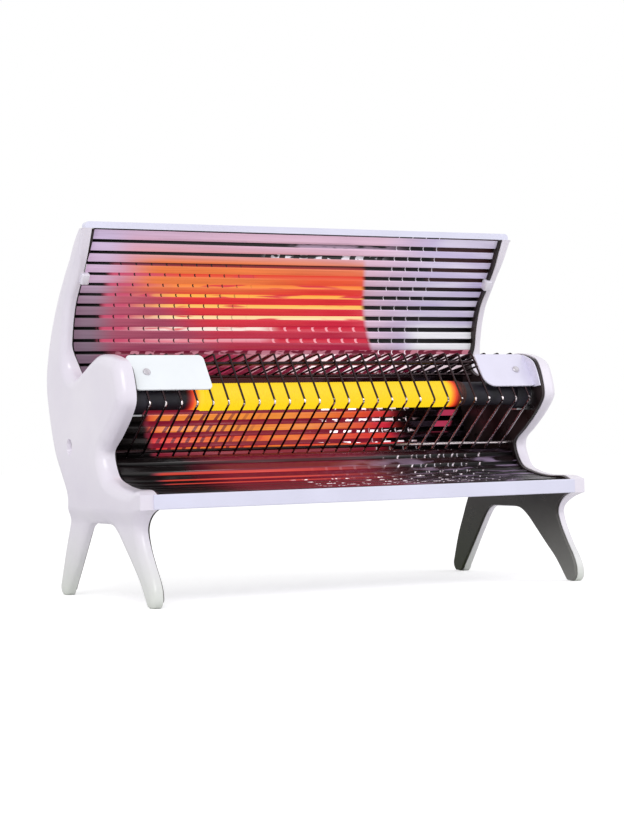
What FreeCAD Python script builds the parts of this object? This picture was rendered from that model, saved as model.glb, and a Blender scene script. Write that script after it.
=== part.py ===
"""Electric bar heater: a ribbed mirror reflector and one glowing ceramic rod between two moulded sides.

Frame: millimetres, +Z up, +X to the right seen from the front, -Y to the front.
The origin is at the bottom centre of the whole heater.
A depth is measured back from the face of the front lip, a height up from the floor.
"""
import FreeCAD, Part
import math
import os
import Sketcher
from FreeCAD import Placement, Rotation, Vector

SIZES = {
    # side mouldings
    "panel_span": 430.0,
    "shell_thickness": 16.0,
    "shell_wall": 3.0,
    "leg_thickness": 10.0,
    "leg_bevel": 16.0,
    "edge_rounding": 10.0,
    "leg_rounding": 6.0,
    "cavity_inset": 12.0,
    "lining_thickness": 3.0,
    "lining_inset": 0.8,
    "fit_clearance": 0.3,
    # side outline, heights stacked up from the floor
    "arch_height": 69.0,
    "arch_to_lip": 15.0,
    "lip_height": 13.0,
    "waist_rise": 30.0,
    "nose_rise": 51.5,
    "crown_rise": 42.0,
    "notch_drop": 19.0,
    "root_rise": 3.5,
    "wing_rise": 134.5,
    "bulge_rise": 65.0,
    "rear_waist_rise": 5.0,
    # side outline, depths back from the lip face
    "nose_depth": 39.5,
    "waist_depth": 90.0,
    "crown_depth": 93.0,
    "notch_depth": 153.0,
    "root_depth": 172.0,
    "tip_depth": 117.0,
    "tip_width": 8.0,
    "bulge_depth": 222.0,
    "rear_waist_depth": 174.0,
    "arch_front_depth": 93.0,
    "arch_rear_depth": 133.0,
    "ankle_depth": 21.0,
    "ankle_drop": 3.0,
    "toe_overhang": 8.0,
    "heel_depth": 208.3,
    "foot_width": 18.5,
    "sole_flat": 8.0,
    "outline_chord": 0.2,
    # reflector sheet
    "sheet_thickness": 0.8,
    "rib_pitch": 10.4,
    "rib_groove": 3.8,
    "rib_depth": 1.8,
    "reflector_setback": 4.5,
    "bowl_depth": 185.0,
    "bowl_floor_height": 122.0,
    "crest_setback": 8.0,
    "crest_drop": 0.5,
    "tray_gap": 1.5,
    # lip trim and top rail
    "trim_thickness": 1.2,
    "trim_return": 7.0,
    "trim_overlap": 3.5,
    "rail_height": 6.0,
    "rail_thickness": 1.0,
    "rail_overlap": 13.0,
    "rail_corner": 4.0,
    # back cover and base pan
    "cover_inset": 5.0,
    "pan_upstand": 9.0,
    "vent_length": 26.0,
    "vent_height": 3.0,
    "vent_pitch": 38.0,
    "vent_count": 9,
    "vent_row_pitch": 9.0,
    "vent_rise": 24.0,
    # guard
    "wire_diameter": 2.0,
    "wire_pitch": 15.4,
    "wire_count": 27,
    "guard_foot_depth": 101.0,
    "guard_foot_height": 128.5,
    "guard_apex_depth": 44.0,
    "guard_apex_height": 175.0,
    "guard_top_depth": 75.0,
    "guard_top_height": 220.0,
    "guard_rear_depth": 176.0,
    "guard_rear_height": 203.0,
    "guard_rod_diameter": 3.0,
    "bottom_rod_travel": 4.0,
    "top_rod_travel": 46.0,
    "rear_rod_travel": 92.0,
    # heating element
    "rod_diameter": 22.6,
    "coil_diameter": 25.0,
    "coil_length": 278.0,
    "element_depth": 73.0,
    "element_height": 181.0,
    "cap_diameter": 30.0,
    "cap_length": 14.0,
    "cap_wall": 2.0,
    "cap_chamfer": 1.0,
    "bracket_width": 30.0,
    "bracket_thickness": 1.5,
    "foot_breadth": 14.0,
    "stud_diameter": 4.0,
    "stud_length": 16.0,
    "nut_width": 7.0,
    "nut_thickness": 3.2,
    # corner plates
    "left_plate_length": 76.0,
    "right_plate_length": 57.0,
    "plate_height": 38.0,
    "plate_thickness": 1.5,
    "plate_corner": 7.0,
    "plate_rise": 14.0,
    "clamp_length": 40.0,
    "clamp_width": 12.0,
    "plate_screw_inset": 16.0,
    "plate_screw_diameter": 3.5,
    "plate_screw_head": 7.0,
    "plate_screw_head_height": 1.8,
    # wing clips
    "clip_height": 292.0,
    "clip_width": 12.0,
    "clip_reach": 4.0,
    "clip_inner": 8.0,
    # fixings
    "tie_diameter": 8.0,
    "tie_low_height": 106.0,
    "tie_middle_height": 222.0,
    "tie_high_height": 295.0,
    "screw_diameter": 3.0,
    "screw_head": 6.0,
    "screw_head_height": 2.0,
    "cover_screw_spread": 190.0,
    "shell_screw_depth": 160.0,
    "shell_screw_height": 140.0,
    "shell_screw_diameter": 3.5,
    "shell_screw_head": 7.5,
    "shell_recess_width": 9.0,
    "shell_recess_depth": 5.0,
    "shell_recess_drop": 2.0,
    "shell_boss_diameter": 13.0,
    # wiring
    "gland_height": 142.0,
    "gland_side": 150.0,
    "gland_bore": 8.0,
    "gland_collar": 16.0,
    "gland_collar_length": 8.0,
    "gland_neck": 12.0,
    "gland_nut_width": 15.0,
    "gland_nut_thickness": 3.0,
    "block_length": 34.0,
    "block_depth": 14.0,
    "block_height": 12.0,
    "block_side": 105.0,
    "cutout_diameter": 16.0,
    "cutout_height": 8.0,
    "cutout_side": -60.0,
    "cable_way": 3.6,
    "lead_diameter": 2.6,
    "lead_run_out": 8.0,
    "lead_bend_forward": 30.0,
    "lead_bend_up": 12.0,
    "lead_hole_depth": 190.0,
    "lead_hole_height": 158.0,
    "grommet_collar": 9.0,
    "grommet_groove": 1.0,
    "grommet_rim": 1.5,
}

doc = FreeCAD.newDocument("BarHeater")
sheet = doc.addObject("Spreadsheet::Sheet", "Sizes")
for row, (alias, value) in enumerate(SIZES.items(), start=1):
    sheet.set("A%d" % row, alias)
    sheet.set("B%d" % row, str(value))
    sheet.setAlias("B%d" % row, alias)
doc.recompute()


def size(alias):
    """A driving size, read back from the sheet."""
    return float(sheet.get(alias))


# ---------------------------------------------------------------------------
# Frame and key points of the side outline, as (depth, height)
# ---------------------------------------------------------------------------
LIP_FACE = (size("toe_overhang") - size("bulge_depth")) / 2
LIP_LOW = size("arch_height") + size("arch_to_lip")
LIP_TOP = LIP_LOW + size("lip_height")
WAIST_HEIGHT = LIP_TOP + size("waist_rise")
NOSE_HEIGHT = WAIST_HEIGHT + size("nose_rise")
CROWN_HEIGHT = NOSE_HEIGHT + size("crown_rise")
NOTCH_HEIGHT = CROWN_HEIGHT - size("notch_drop")
TIP_HEIGHT = NOTCH_HEIGHT + size("wing_rise")

HALF_SPAN = size("panel_span") / 2
LINING_FACE = HALF_SPAN - size("lining_thickness")
OUTER_FACE = HALF_SPAN + size("shell_thickness")
SHEET_HALF = LINING_FACE - size("fit_clearance")

lip_bottom = (0.0, LIP_LOW)
lip_upper = (0.0, LIP_TOP)
waist = (size("waist_depth"), WAIST_HEIGHT)
nose = (size("nose_depth"), NOSE_HEIGHT)
crown = (size("crown_depth"), CROWN_HEIGHT)
notch = (size("notch_depth"), NOTCH_HEIGHT)
root = (size("root_depth"), CROWN_HEIGHT + size("root_rise"))
tip_front = (size("tip_depth"), TIP_HEIGHT)
tip_back = (size("tip_depth") + size("tip_width"), TIP_HEIGHT)
bulge = (size("bulge_depth"), WAIST_HEIGHT + size("bulge_rise"))
rear_waist = (size("rear_waist_depth"), LIP_LOW + size("rear_waist_rise"))
arch_rear = (size("arch_rear_depth"), size("arch_height"))
arch_front = (size("arch_front_depth"), size("arch_height"))
ankle = (size("ankle_depth"), size("arch_height") - size("ankle_drop"))


def at(depth, height, side=0.0):
    """A point of the heater from its depth, height and place to the side."""
    return Vector(side, LIP_FACE + depth, height)


def between(start, end, along, up):
    """A point between two key points, by separate shares of the depth and the height."""
    return (start[0] + (end[0] - start[0]) * along, start[1] + (end[1] - start[1]) * up)


def foot(centre_depth, *angles):
    """Points round the end of a foot, a circle sunk until its flat sole is wide enough; angles from the back."""
    radius = size("foot_width") / 2
    centre_height = math.sqrt(radius ** 2 - (size("sole_flat") / 2) ** 2)
    points = []
    for angle in angles:
        turn = math.radians(angle)
        points.append((centre_depth + radius * math.cos(turn), centre_height - radius * math.sin(turn)))
    return points


def run(start, end, *shares):
    """The points from start to end, both included, with the given shares between."""
    return [start] + [between(start, end, along, up) for along, up in shares] + [end]


REAR_FOOT = foot(size("heel_depth") - size("foot_width") / 2, -10, 40, 90, 130, 160)
FRONT_FOOT = foot(size("foot_width") / 2 - size("toe_overhang"), 35, 60, 90, 135, 180)
heel, rear_toe = REAR_FOOT[0], REAR_FOOT[-1]
front_heel, front_toe = FRONT_FOOT[0], FRONT_FOOT[-1]

SEAT = run(lip_upper, waist, (0.09, 0.11), (0.4, 0.133), (0.69, 0.267), (0.89, 0.48))
CHEST = run(waist, nose, (0.0, 0.13), (0.356, 0.379), (0.713, 0.65), (0.95, 0.864))
BROW = run(nose, crown, (0.03, 0.3), (0.2, 0.77), (0.42, 0.905))
SHOULDER = run(crown, notch, (0.317, 0.26), (0.683, 0.71))
THROAT = run(notch, root, (0.79, 0.36))
WING = run(root, tip_front, (0.055, 0.2), (0.213, 0.41), (0.463, 0.575), (0.76, 0.775))
BACK = run(tip_back, bulge, (0.15, 0.06), (0.34, 0.17), (0.64, 0.40), (0.86, 0.64), (0.98, 0.857))
LOWER_BACK = run(bulge, rear_waist, (0.146, 0.29), (0.417, 0.604), (0.73, 0.8))
REAR_LEG_BACK = run(rear_waist, heel, (0.29, 0.32), (0.70, 0.72))
REAR_LEG_FRONT = run(rear_toe, arch_rear, (0.27, 0.3), (0.53, 0.6), (0.76, 0.86), (0.87, 0.95))
ARCH = [arch_rear, arch_front]
FRONT_LEG_BACK = run(
    arch_front, front_heel, (0.13, 0.03), (0.27, 0.14), (0.42, 0.32), (0.63, 0.58), (0.81, 0.80))
FRONT_LEG_FRONT = run(front_toe, ankle, (0.03, 0.12), (0.17, 0.27), (0.51, 0.51), (0.86, 0.79))
ANKLE = run(ankle, lip_bottom, (0.14, 0.39), (0.52, 0.78))
LIP_END = [lip_bottom, lip_upper]

UPPER_FRONT = SEAT + CHEST[1:] + BROW[1:] + SHOULDER[1:] + THROAT[1:] + WING[1:]
OUTLINE = [
    UPPER_FRONT,
    [tip_front, tip_back],
    BACK + LOWER_BACK[1:] + REAR_LEG_BACK[1:],
    REAR_FOOT,
    REAR_LEG_FRONT,
    ARCH,
    FRONT_LEG_BACK,
    FRONT_FOOT,
    FRONT_LEG_FRONT + ANKLE[1:],
    LIP_END,
]


# ---------------------------------------------------------------------------
# Shapes shared by several pieces
# ---------------------------------------------------------------------------
def edge_through(points):
    """A straight edge through two points, or a smooth curve through more."""
    if len(points) == 2:
        return Part.LineSegment(points[0], points[1]).toShape()
    curve = Part.BSplineCurve()
    curve.interpolate(points)
    return curve.toShape()


def outline_loop():
    """The side outline in order round the loop, its curves drawn as chords that stay close to them."""
    loop = []
    for piece in OUTLINE:
        edge = edge_through([Vector(0, depth, height) for depth, height in piece])
        if len(piece) > 2:
            corners = edge.discretize(QuasiDeflection=size("outline_chord"))
        else:
            corners = [vertex.Point for vertex in edge.Vertexes]
        loop.extend((corner.y, corner.z) for corner in corners[:-1])
    return loop


def normals_of(loop):
    """The unit normal into the moulding at each point of a closed loop."""
    normals = []
    for index, before in enumerate(loop[-1:] + loop[:-1]):
        after = loop[(index + 1) % len(loop)]
        depth = after[0] - before[0]
        height = after[1] - before[1]
        length = math.hypot(depth, height)
        normals.append((height / length, -depth / length))
    return normals


LOOP = outline_loop()
NORMALS = normals_of(LOOP)


def rounding_at(point):
    """The radius of the outer edge at a point, and the side at which the moulding ends there."""
    if point[1] <= LIP_LOW:
        return size("leg_rounding"), HALF_SPAN + size("leg_thickness")
    to_tip = math.hypot(point[0] - tip_front[0], point[1] - tip_front[1])
    near_tip = 2.5 + 0.12 * to_tip
    near_lip = 4.0 + 0.2 * max(point[0], 0.0)
    return min(size("edge_rounding"), near_tip, near_lip), OUTER_FACE


def inset_at(point, side):
    """How far the outline has drawn in at a given side, round a quarter circle."""
    radius, end = rounding_at(point)
    reach = min(max(side - (end - radius), 0.0), radius * 0.98)
    return radius - math.sqrt(radius * radius - reach * reach)


def outline_wire(side, inset):
    """The closed side outline at one side plane, drawn in by inset(point, side)."""
    corners = []
    for point, normal in zip(LOOP, NORMALS):
        move = inset(point, side)
        corners.append(at(point[0] + normal[0] * move, point[1] + normal[1] * move, side))
    return Part.makePolygon(corners + corners[:1])


def inset_points(points, distance):
    """Points of an open run moved to its right by a distance, the corners mitred."""
    moved = []
    for index, point in enumerate(points):
        before = points[max(index - 1, 0)]
        after = points[min(index + 1, len(points) - 1)]
        units = []
        for start, end in ((before, point), (point, after)):
            length = math.hypot(end[0] - start[0], end[1] - start[1])
            if length > 0:
                units.append(((end[1] - start[1]) / length, -(end[0] - start[0]) / length))
        first, last = units[0], units[-1]
        share = distance / (1 + first[0] * last[0] + first[1] * last[1])
        moved.append((point[0] + (first[0] + last[0]) * share, point[1] + (first[1] + last[1]) * share))
    return moved


def sheet_solid(points, thickness, half_width):
    """Sheet metal bent along a run of points; its thickness lies to the right of the run."""
    loop = points + inset_points(points, thickness)[::-1]
    corners = [at(depth, height, -half_width) for depth, height in loop]
    face = Part.Face(Part.makePolygon(corners + corners[:1]))
    return face.extrude(Vector(2 * half_width, 0, 0))


def feature(label, shape, placement=None):
    """A piece whose shape is worked out here; it gets its placement after its shape."""
    piece = doc.addObject("Part::Feature", label)
    piece.Label = label
    piece.Shape = shape
    if placement:
        piece.Placement = placement
    return piece


def mirrored(shape):
    """The same shape on the other side of the heater."""
    return shape.mirror(Vector(0, 0, 0), Vector(1, 0, 0))


def bar(diameter, length, start, direction=Vector(1, 0, 0)):
    """A round bar from its start along a direction."""
    return Part.makeCylinder(diameter / 2, length, start, direction)


def ring_of_corners(width, sides, centre, direction):
    """A closed polygon with so many sides, measured across its flats, that faces a direction."""
    radius = width / 2 / math.cos(math.pi / sides)
    turned = Rotation(Vector(0, 0, 1), direction)
    corners = []
    for index in range(sides):
        angle = 2 * math.pi * index / sides
        corners.append(centre + turned.multVec(Vector(radius * math.cos(angle), radius * math.sin(angle), 0)))
    return Part.makePolygon(corners + corners[:1])


def prism(width, length, start, direction, sides=8):
    """A bar with flat sides, from its start along a direction: six sides for a nut, eight for a small hole."""
    return Part.Face(ring_of_corners(width, sides, start, direction)).extrude(direction * length)


def small_hole(diameter, start, direction, length):
    """The cutter for a small hole with its clearance, long enough both ways from its start."""
    return prism(diameter + size("fit_clearance"), 2 * length, start - direction * length, direction)


def pan_screw(head, head_height, diameter, length, seat, inward):
    """A pan-head screw: its tapered head stands outside the seat and its shank runs inward."""
    outside = inward * -1
    rim = ring_of_corners(head, 16, seat, outside)
    crown_ring = ring_of_corners(head * 0.72, 16, seat + outside * head_height, outside)
    cap = Part.makeLoft([rim, crown_ring], True, True)
    return cap.fuse(prism(diameter, length, seat, inward)).removeSplitter()


def hex_screw(seat, inward, length):
    """A hexagon-head screw: its head stands outside the seat and its shank runs inward."""
    head = prism(size("screw_head"), size("screw_head_height"), seat, inward * -1, 6)
    return head.fuse(prism(size("screw_diameter"), length, seat, inward)).removeSplitter()


def below(height):
    """Everything in the heater's footprint below a height, to cut a flat face."""
    reach = 2 * size("bulge_depth")
    return Part.makeBox(2 * reach, 2 * reach, reach, Vector(-reach, -reach, height - reach))


# ---------------------------------------------------------------------------
# Moulded sides and their linings
# ---------------------------------------------------------------------------
SHELL_SCREW = (size("shell_screw_depth"), size("shell_screw_height"))


def side_shell():
    """The right moulded side: body, shoulder, wing and two splayed legs, hollow behind the body."""
    rounding = size("edge_rounding")
    leg_end = HALF_SPAN + size("leg_thickness")
    sides = [HALF_SPAN, leg_end - size("leg_rounding") / 2, OUTER_FACE - rounding * 0.3, OUTER_FACE]
    solid = Part.makeLoft([outline_wire(side, inset_at) for side in sorted(sides)], True, True)
    # the legs are thinner than the body, and step out to it over a soft bevel
    reach = 2 * size("bulge_depth")
    bevel = [
        Vector(leg_end, -reach, -reach),
        Vector(leg_end, -reach, LIP_LOW - size("leg_bevel")),
        Vector(OUTER_FACE, -reach, LIP_LOW),
        Vector(OUTER_FACE + reach, -reach, LIP_LOW),
        Vector(OUTER_FACE + reach, -reach, -reach),
    ]
    thinning = Part.Face(Part.makePolygon(bevel + bevel[:1])).extrude(Vector(0, 2 * reach, 0))
    solid = solid.cut([thinning, below(0.0)])
    # the fixing boss, and the oval recess for its screw
    across = Vector(1, 0, 0)
    solid = solid.cut(side_hollow())
    boss_length = size("shell_thickness") - size("shell_wall") / 2
    solid = solid.fuse(bar(size("shell_boss_diameter"), boss_length, at(*SHELL_SCREW, HALF_SPAN)))
    recess_floor = OUTER_FACE - size("shell_recess_depth")
    upper = prism(size("shell_recess_width"), size("shell_thickness"), at(*SHELL_SCREW, recess_floor), across, 16)
    lowered = (SHELL_SCREW[0], SHELL_SCREW[1] - size("shell_recess_drop"))
    lower = prism(size("shell_recess_width"), size("shell_thickness"), at(*lowered, recess_floor), across, 16)
    hole = small_hole(size("shell_screw_diameter"), at(*SHELL_SCREW, HALF_SPAN), across, 2 * size("shell_thickness"))
    return solid.cut([upper, lower, hole]).removeSplitter()


def side_hollow():
    """The space inside the moulding that takes the wiring: what lies well inside both its front and its back edge."""
    inset = size("cavity_inset")
    front_side = inset_points(CHEST + BROW[1:] + SHOULDER[1:] + THROAT[1:] + WING[1:4], inset)
    back_side = inset_points(BACK[3:] + LOWER_BACK[1:], inset)
    far_back = size("bulge_depth") + inset
    behind = front_side + [(far_back, front_side[-1][1]), (far_back, front_side[0][1])]
    before = back_side + [(-inset, back_side[-1][1]), (-inset, back_side[0][1])]
    depth = Vector(size("shell_thickness") - size("shell_wall"), 0, 0)
    blocks = []
    for outline in (behind, before):
        corners = [at(*point, HALF_SPAN) for point in outline]
        blocks.append(Part.Face(Part.makePolygon(corners + corners[:1])).extrude(depth))
    return blocks[0].common(blocks[1])


def side_lining():
    """The right dark lining that closes the moulding and carries the reflector, guard and element."""
    wire = outline_wire(LINING_FACE, lambda point, side: size("lining_inset"))
    solid = Part.Face(wire).extrude(Vector(size("lining_thickness"), 0, 0))
    across = Vector(1, 0, 0)
    holes = [
        (SHELL_SCREW, size("shell_screw_diameter")),
        ((size("element_depth"), size("element_height")), size("stud_diameter")),
        ((size("lead_hole_depth"), size("lead_hole_height")), size("grommet_collar") - 2 * size("grommet_groove")),
    ]
    holes.extend((tie_centre(height), size("screw_diameter")) for height in tie_heights())
    cutters = [below(size("lining_inset"))]
    for centre, diameter in holes:
        cutters.append(small_hole(diameter, at(*centre, LINING_FACE), across, 2 * size("lining_thickness")))
    for height in tie_heights():
        floor = at(*tie_centre(height), HALF_SPAN - size("screw_head_height"))
        sunk = size("screw_head") + 2 * size("fit_clearance")
        cutters.append(prism(sunk, size("lining_thickness"), floor, across, 6))
    return solid.cut(cutters)


# ---------------------------------------------------------------------------
# Sheet metal: the ribbed reflector, the back cover and the base pan
# ---------------------------------------------------------------------------
crest = (waist[0] + size("crest_setback"), waist[1] - size("crest_drop"))


def reflector_path():
    """The smooth run of the reflector's front face: wing, bowl, crest and front tray."""
    back = size("reflector_setback")
    deepest = size("bowl_depth")
    floor = size("bowl_floor_height")
    wing = [(depth + back, height) for depth, height in WING[::-1]]
    wing[0] = (tip_front[0] + 2.0, TIP_HEIGHT + 2.0)
    middle = size("element_height")
    bowl = [
        (deepest - 3.0, between(root, (0, middle), 0, 0.6)[1]),
        (deepest, middle),
        (deepest - 1.0, between((0, middle), (0, floor), 0, 0.35)[1]),
        (deepest - 8.0, between((0, middle), (0, floor), 0, 0.68)[1]),
        (deepest - 24.0, floor + 3.0),
        (deepest - 50.0, floor - 1.0),
    ]
    gap = size("tray_gap")
    tray = [(depth + gap, height - gap) for depth, height in SEAT[::-1]]
    tray[0] = crest
    tray[-1] = (size("trim_return") + 3.0, LIP_TOP + 1.0)
    return wing + bowl + [between(crest, (deepest, floor), 0.25, 0.45)] + tray


def ribbed(points):
    """The same run pressed with a groove at each pitch, as corner points."""
    curve = Part.BSplineCurve()
    curve.interpolate([at(*point) for point in points])
    length = curve.length()
    pitch = size("rib_pitch")
    groove = size("rib_groove")
    flank = groove * 0.25
    stations = [(0.0, 0.0)]
    count = int((length - pitch * 0.8) / pitch)
    for index in range(count):
        end = (index + 1) * pitch
        stations.append((end - groove, 0.0))
        stations.append((end - groove + flank, size("rib_depth")))
        stations.append((end - flank, size("rib_depth")))
        stations.append((end, 0.0))
    stations.append((length, 0.0))
    corners = []
    for distance, depth in stations:
        parameter = curve.parameterAtDistance(distance)
        place = curve.value(parameter)
        tangent = curve.tangent(parameter)[0]
        corners.append((place.y - LIP_FACE - tangent.z * depth, place.z + tangent.y * depth))
    return corners


def reflector():
    """The ribbed sheet, with a flat tongue along its front that lies under the lip trim."""
    tongue = LIP_TOP - size("trim_thickness") - 0.1
    front = [(size("trim_return") + 1.0, tongue), (0.6, tongue)]
    return sheet_solid(ribbed(reflector_path()) + front, -size("sheet_thickness"), SHEET_HALF)


def cover_path():
    """The run of the back cover's outer face, inside the back edges of the two sides."""
    inner = inset_points(BACK + LOWER_BACK[1:], size("cover_inset"))
    in_rail = tip_back[0] - size("rail_thickness") - size("fit_clearance")
    head = [(in_rail, TIP_HEIGHT + size("rail_height") / 2), (in_rail, TIP_HEIGHT - 1.0)]
    return head + inner[1:]


def cover_point(height):
    """The cover's outer face at one height: its place, and the unit direction inwards, as pairs."""
    path = cover_path()
    for start, end in zip(path, path[1:]):
        low, high = min(start[1], end[1]), max(start[1], end[1])
        if low <= height <= high:
            share = (height - start[1]) / (end[1] - start[1])
            length = math.hypot(end[0] - start[0], end[1] - start[1])
            inward = ((end[1] - start[1]) / length, -(end[0] - start[0]) / length)
            return (start[0] + (end[0] - start[0]) * share, height), inward
    raise ValueError("no cover at height %s" % height)


def tie_heights():
    """The heights at which the tie bars touch the back cover."""
    return [size("tie_low_height"), size("tie_middle_height"), size("tie_high_height")]


def tie_centre(height):
    """The centre of a tie bar that touches the inside of the cover at a height."""
    place, inward = cover_point(height)
    reach = size("sheet_thickness") + size("tie_diameter") / 2
    return place[0] + inward[0] * reach, place[1] + inward[1] * reach


def back_cover():
    """The painted back sheet with two rows of vent slots and the hole for the cord gland."""
    solid = sheet_solid(cover_path(), size("sheet_thickness"), SHEET_HALF)
    reach = 2 * size("vent_height")
    first_row = size("tie_middle_height") + size("vent_rise")
    slots = []
    for row in range(2):
        height = first_row + row * size("vent_row_pitch")
        depth = cover_point(height)[0][0]
        for index in range(int(size("vent_count"))):
            side = (index - (size("vent_count") - 1) / 2) * size("vent_pitch")
            corner = at(depth - reach, height - size("vent_height") / 2, side - size("vent_length") / 2)
            slots.append(Part.makeBox(size("vent_length"), 2 * reach, size("vent_height"), corner))
    place, inward = cover_point(size("gland_height"))
    direction = Vector(0, inward[0], inward[1])
    start = at(*place, size("gland_side")) - direction * reach
    slots.append(prism(size("gland_neck") + size("fit_clearance"), 2 * reach, start, direction, 16))
    for seat, direction in cover_screw_seats():
        slots.append(small_hole(size("screw_diameter"), seat, direction, reach))
    return solid.cut(slots)


def cover_screw_seats():
    """Where the cover screws sit: three along each outer tie bar, with the direction inwards."""
    seats = []
    for height in (size("tie_low_height"), size("tie_high_height")):
        place, inward = cover_point(height)
        for side in (-1, 0, 1):
            seats.append((at(*place, side * size("cover_screw_spread")), Vector(0, inward[0], inward[1])))
    return seats


def base_pan():
    """The flat sheet under the reflector, from the lip trim back to an upstand inside the cover's foot."""
    upper, foot = cover_path()[-2:]
    length = math.hypot(upper[0] - foot[0], upper[1] - foot[1])
    along = ((upper[0] - foot[0]) / length, (upper[1] - foot[1]) / length)
    gap = size("sheet_thickness") + 0.05
    start = (foot[0] - along[1] * gap, foot[1] + along[0] * gap)
    low = LIP_LOW + size("trim_thickness")
    points = [
        (start[0] + along[0] * size("pan_upstand"), start[1] + along[1] * size("pan_upstand")),
        start,
        (start[0] - 3.0, low),
        (0.3, low),
    ]
    return sheet_solid(points, size("sheet_thickness"), SHEET_HALF)


feature("right_side_shell", side_shell())
feature("left_side_shell", mirrored(doc.getObject("right_side_shell").Shape))
feature("right_inner_lining", side_lining())
feature("left_inner_lining", mirrored(doc.getObject("right_inner_lining").Shape))
feature("reflector", reflector())
feature("back_cover", back_cover())
feature("base_pan", base_pan())


# ---------------------------------------------------------------------------
# Lip trim and top rail
# ---------------------------------------------------------------------------
def origin_plane(body, role):
    """One of a body's own origin planes."""
    return next(plane for plane in body.Origin.OriginFeatures if plane.Role == role)


def lip_trim():
    """A channel along the front edge; only its face runs on over the ends of the sides."""
    wall = size("trim_thickness")
    reach = size("trim_return")
    low, high = LIP_LOW, LIP_TOP
    face = Part.makeBox(
        2 * (HALF_SPAN + size("trim_overlap")), wall, high - low,
        at(-wall, low, -HALF_SPAN - size("trim_overlap")))
    shape = face
    for height in (low, high - wall):
        shape = shape.fuse(Part.makeBox(2 * SHEET_HALF, reach + wall, wall, at(-wall, height, -SHEET_HALF)))
    shape = shape.removeSplitter()
    corners = [edge for edge in shape.Edges if edge.Length > 400 and abs(edge.Vertexes[0].Y - LIP_FACE + wall) < 1e-6]
    return shape.makeFillet(wall * 0.8, corners)


def sketch_on(body, name, role):
    """A new sketch on one of the body's own origin planes."""
    sketch = body.newObject("Sketcher::SketchObject", name)
    sketch.AttachmentSupport = [(origin_plane(body, role), "")]
    sketch.MapMode = "FlatFace"
    return sketch


def rectangle(sketch, width, height, corner=(0.0, 0.0)):
    """A rectangle from a corner of the sketch, with its width and height bound to expressions."""
    left, low = corner
    right, high = left + 10.0, low + 10.0
    corners = [Vector(left, low, 0), Vector(right, low, 0), Vector(right, high, 0), Vector(left, high, 0)]
    for start, end in zip(corners, corners[1:] + corners[:1]):
        sketch.addGeometry(Part.LineSegment(start, end), False)
    for index in range(4):
        sketch.addConstraint(Sketcher.Constraint("Coincident", index, 2, (index + 1) % 4, 1))
    sketch.addConstraint(Sketcher.Constraint("Horizontal", 0))
    sketch.addConstraint(Sketcher.Constraint("Vertical", 1))
    sketch.addConstraint(Sketcher.Constraint("Horizontal", 2))
    sketch.addConstraint(Sketcher.Constraint("Vertical", 3))
    sketch.addConstraint(Sketcher.Constraint("DistanceX", 0, 1, left))
    sketch.addConstraint(Sketcher.Constraint("DistanceY", 0, 1, low))
    for kind, line, value in (("DistanceX", 0, width), ("DistanceY", 1, height)):
        index = sketch.addConstraint(Sketcher.Constraint(kind, line, 1, line, 2, 10.0))
        sketch.setExpression("Constraints[%d]" % index, value)


def pad(body, sketch, name, length):
    """A pad of a sketch whose length is an expression on the sheet."""
    solid = body.newObject("PartDesign::Pad", name)
    solid.Profile = sketch
    solid.setExpression("Length", length)
    sketch.Visibility = False
    return solid


def upright_edges(shape, axis):
    """The names of a shape's straight edges that run along an axis."""
    names = []
    for number, edge in enumerate(shape.Edges, start=1):
        start, end = edge.Vertexes[0].Point, edge.Vertexes[-1].Point
        if edge.Curve.TypeId == "Part::GeomLine" and abs((end - start).normalize().dot(axis)) > 0.999:
            names.append("Edge%d" % number)
    return names


def top_rail():
    """The rail along the top: a channel over the sheet edges that also caps both wing tips."""
    body = doc.addObject("PartDesign::Body", "top_rail")
    body.Label = "top_rail"
    profile = sketch_on(body, "RailFace", "XY_Plane")
    rectangle(profile, "Sizes.panel_span + 2 * Sizes.rail_overlap", "Sizes.tip_width")
    block = pad(body, profile, "RailBlock", "Sizes.rail_height")
    doc.recompute()
    rounded = body.newObject("PartDesign::Fillet", "RailCorners")
    ends = []
    for number, edge in enumerate(block.Shape.Edges, start=1):
        middle = edge.CenterOfMass
        along_depth = abs(edge.Vertexes[0].Y - edge.Vertexes[-1].Y) > 1
        if along_depth and middle.z > size("rail_height") / 2:
            ends.append("Edge%d" % number)
    rounded.Base = (block, ends)
    rounded.setExpression("Radius", "Sizes.rail_corner")
    groove = sketch_on(body, "RailGroove", "XY_Plane")
    wall = size("rail_thickness")
    start = (size("rail_overlap") + size("fit_clearance"), wall)
    width = "Sizes.tip_width - 2 * Sizes.rail_thickness"
    rectangle(groove, "Sizes.panel_span - 2 * Sizes.fit_clearance", width, start)
    doc.recompute()
    pocket = body.newObject("PartDesign::Pocket", "RailChannel")
    pocket.Profile = groove
    pocket.setExpression("Length", "Sizes.rail_height - Sizes.rail_thickness")
    pocket.Reversed = True
    groove.Visibility = False
    body.Placement = Placement(at(tip_front[0], TIP_HEIGHT, -HALF_SPAN - size("rail_overlap")), Rotation())
    doc.recompute()
    return body


feature("front_lip", lip_trim())
top_rail()


# ---------------------------------------------------------------------------
# Wire guard
# ---------------------------------------------------------------------------
APEX = (size("guard_apex_depth"), size("guard_apex_height"))
TOP_BEND = (size("guard_top_depth"), size("guard_top_height"))
GUARD_FOOT = (size("guard_foot_depth"), size("guard_foot_height"))
GUARD_REAR = (size("guard_rear_depth"), size("guard_rear_height"))


def bent_wire(points, diameter):
    """A wire along straight runs that meet in mitred corners, drawn with six sides round."""
    section = ring_of_corners(diameter, 6, points[0], (points[1] - points[0]).normalize())
    right_corners = 1
    return Part.makePolygon(points).makePipeShell([section], True, True, right_corners)


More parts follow.
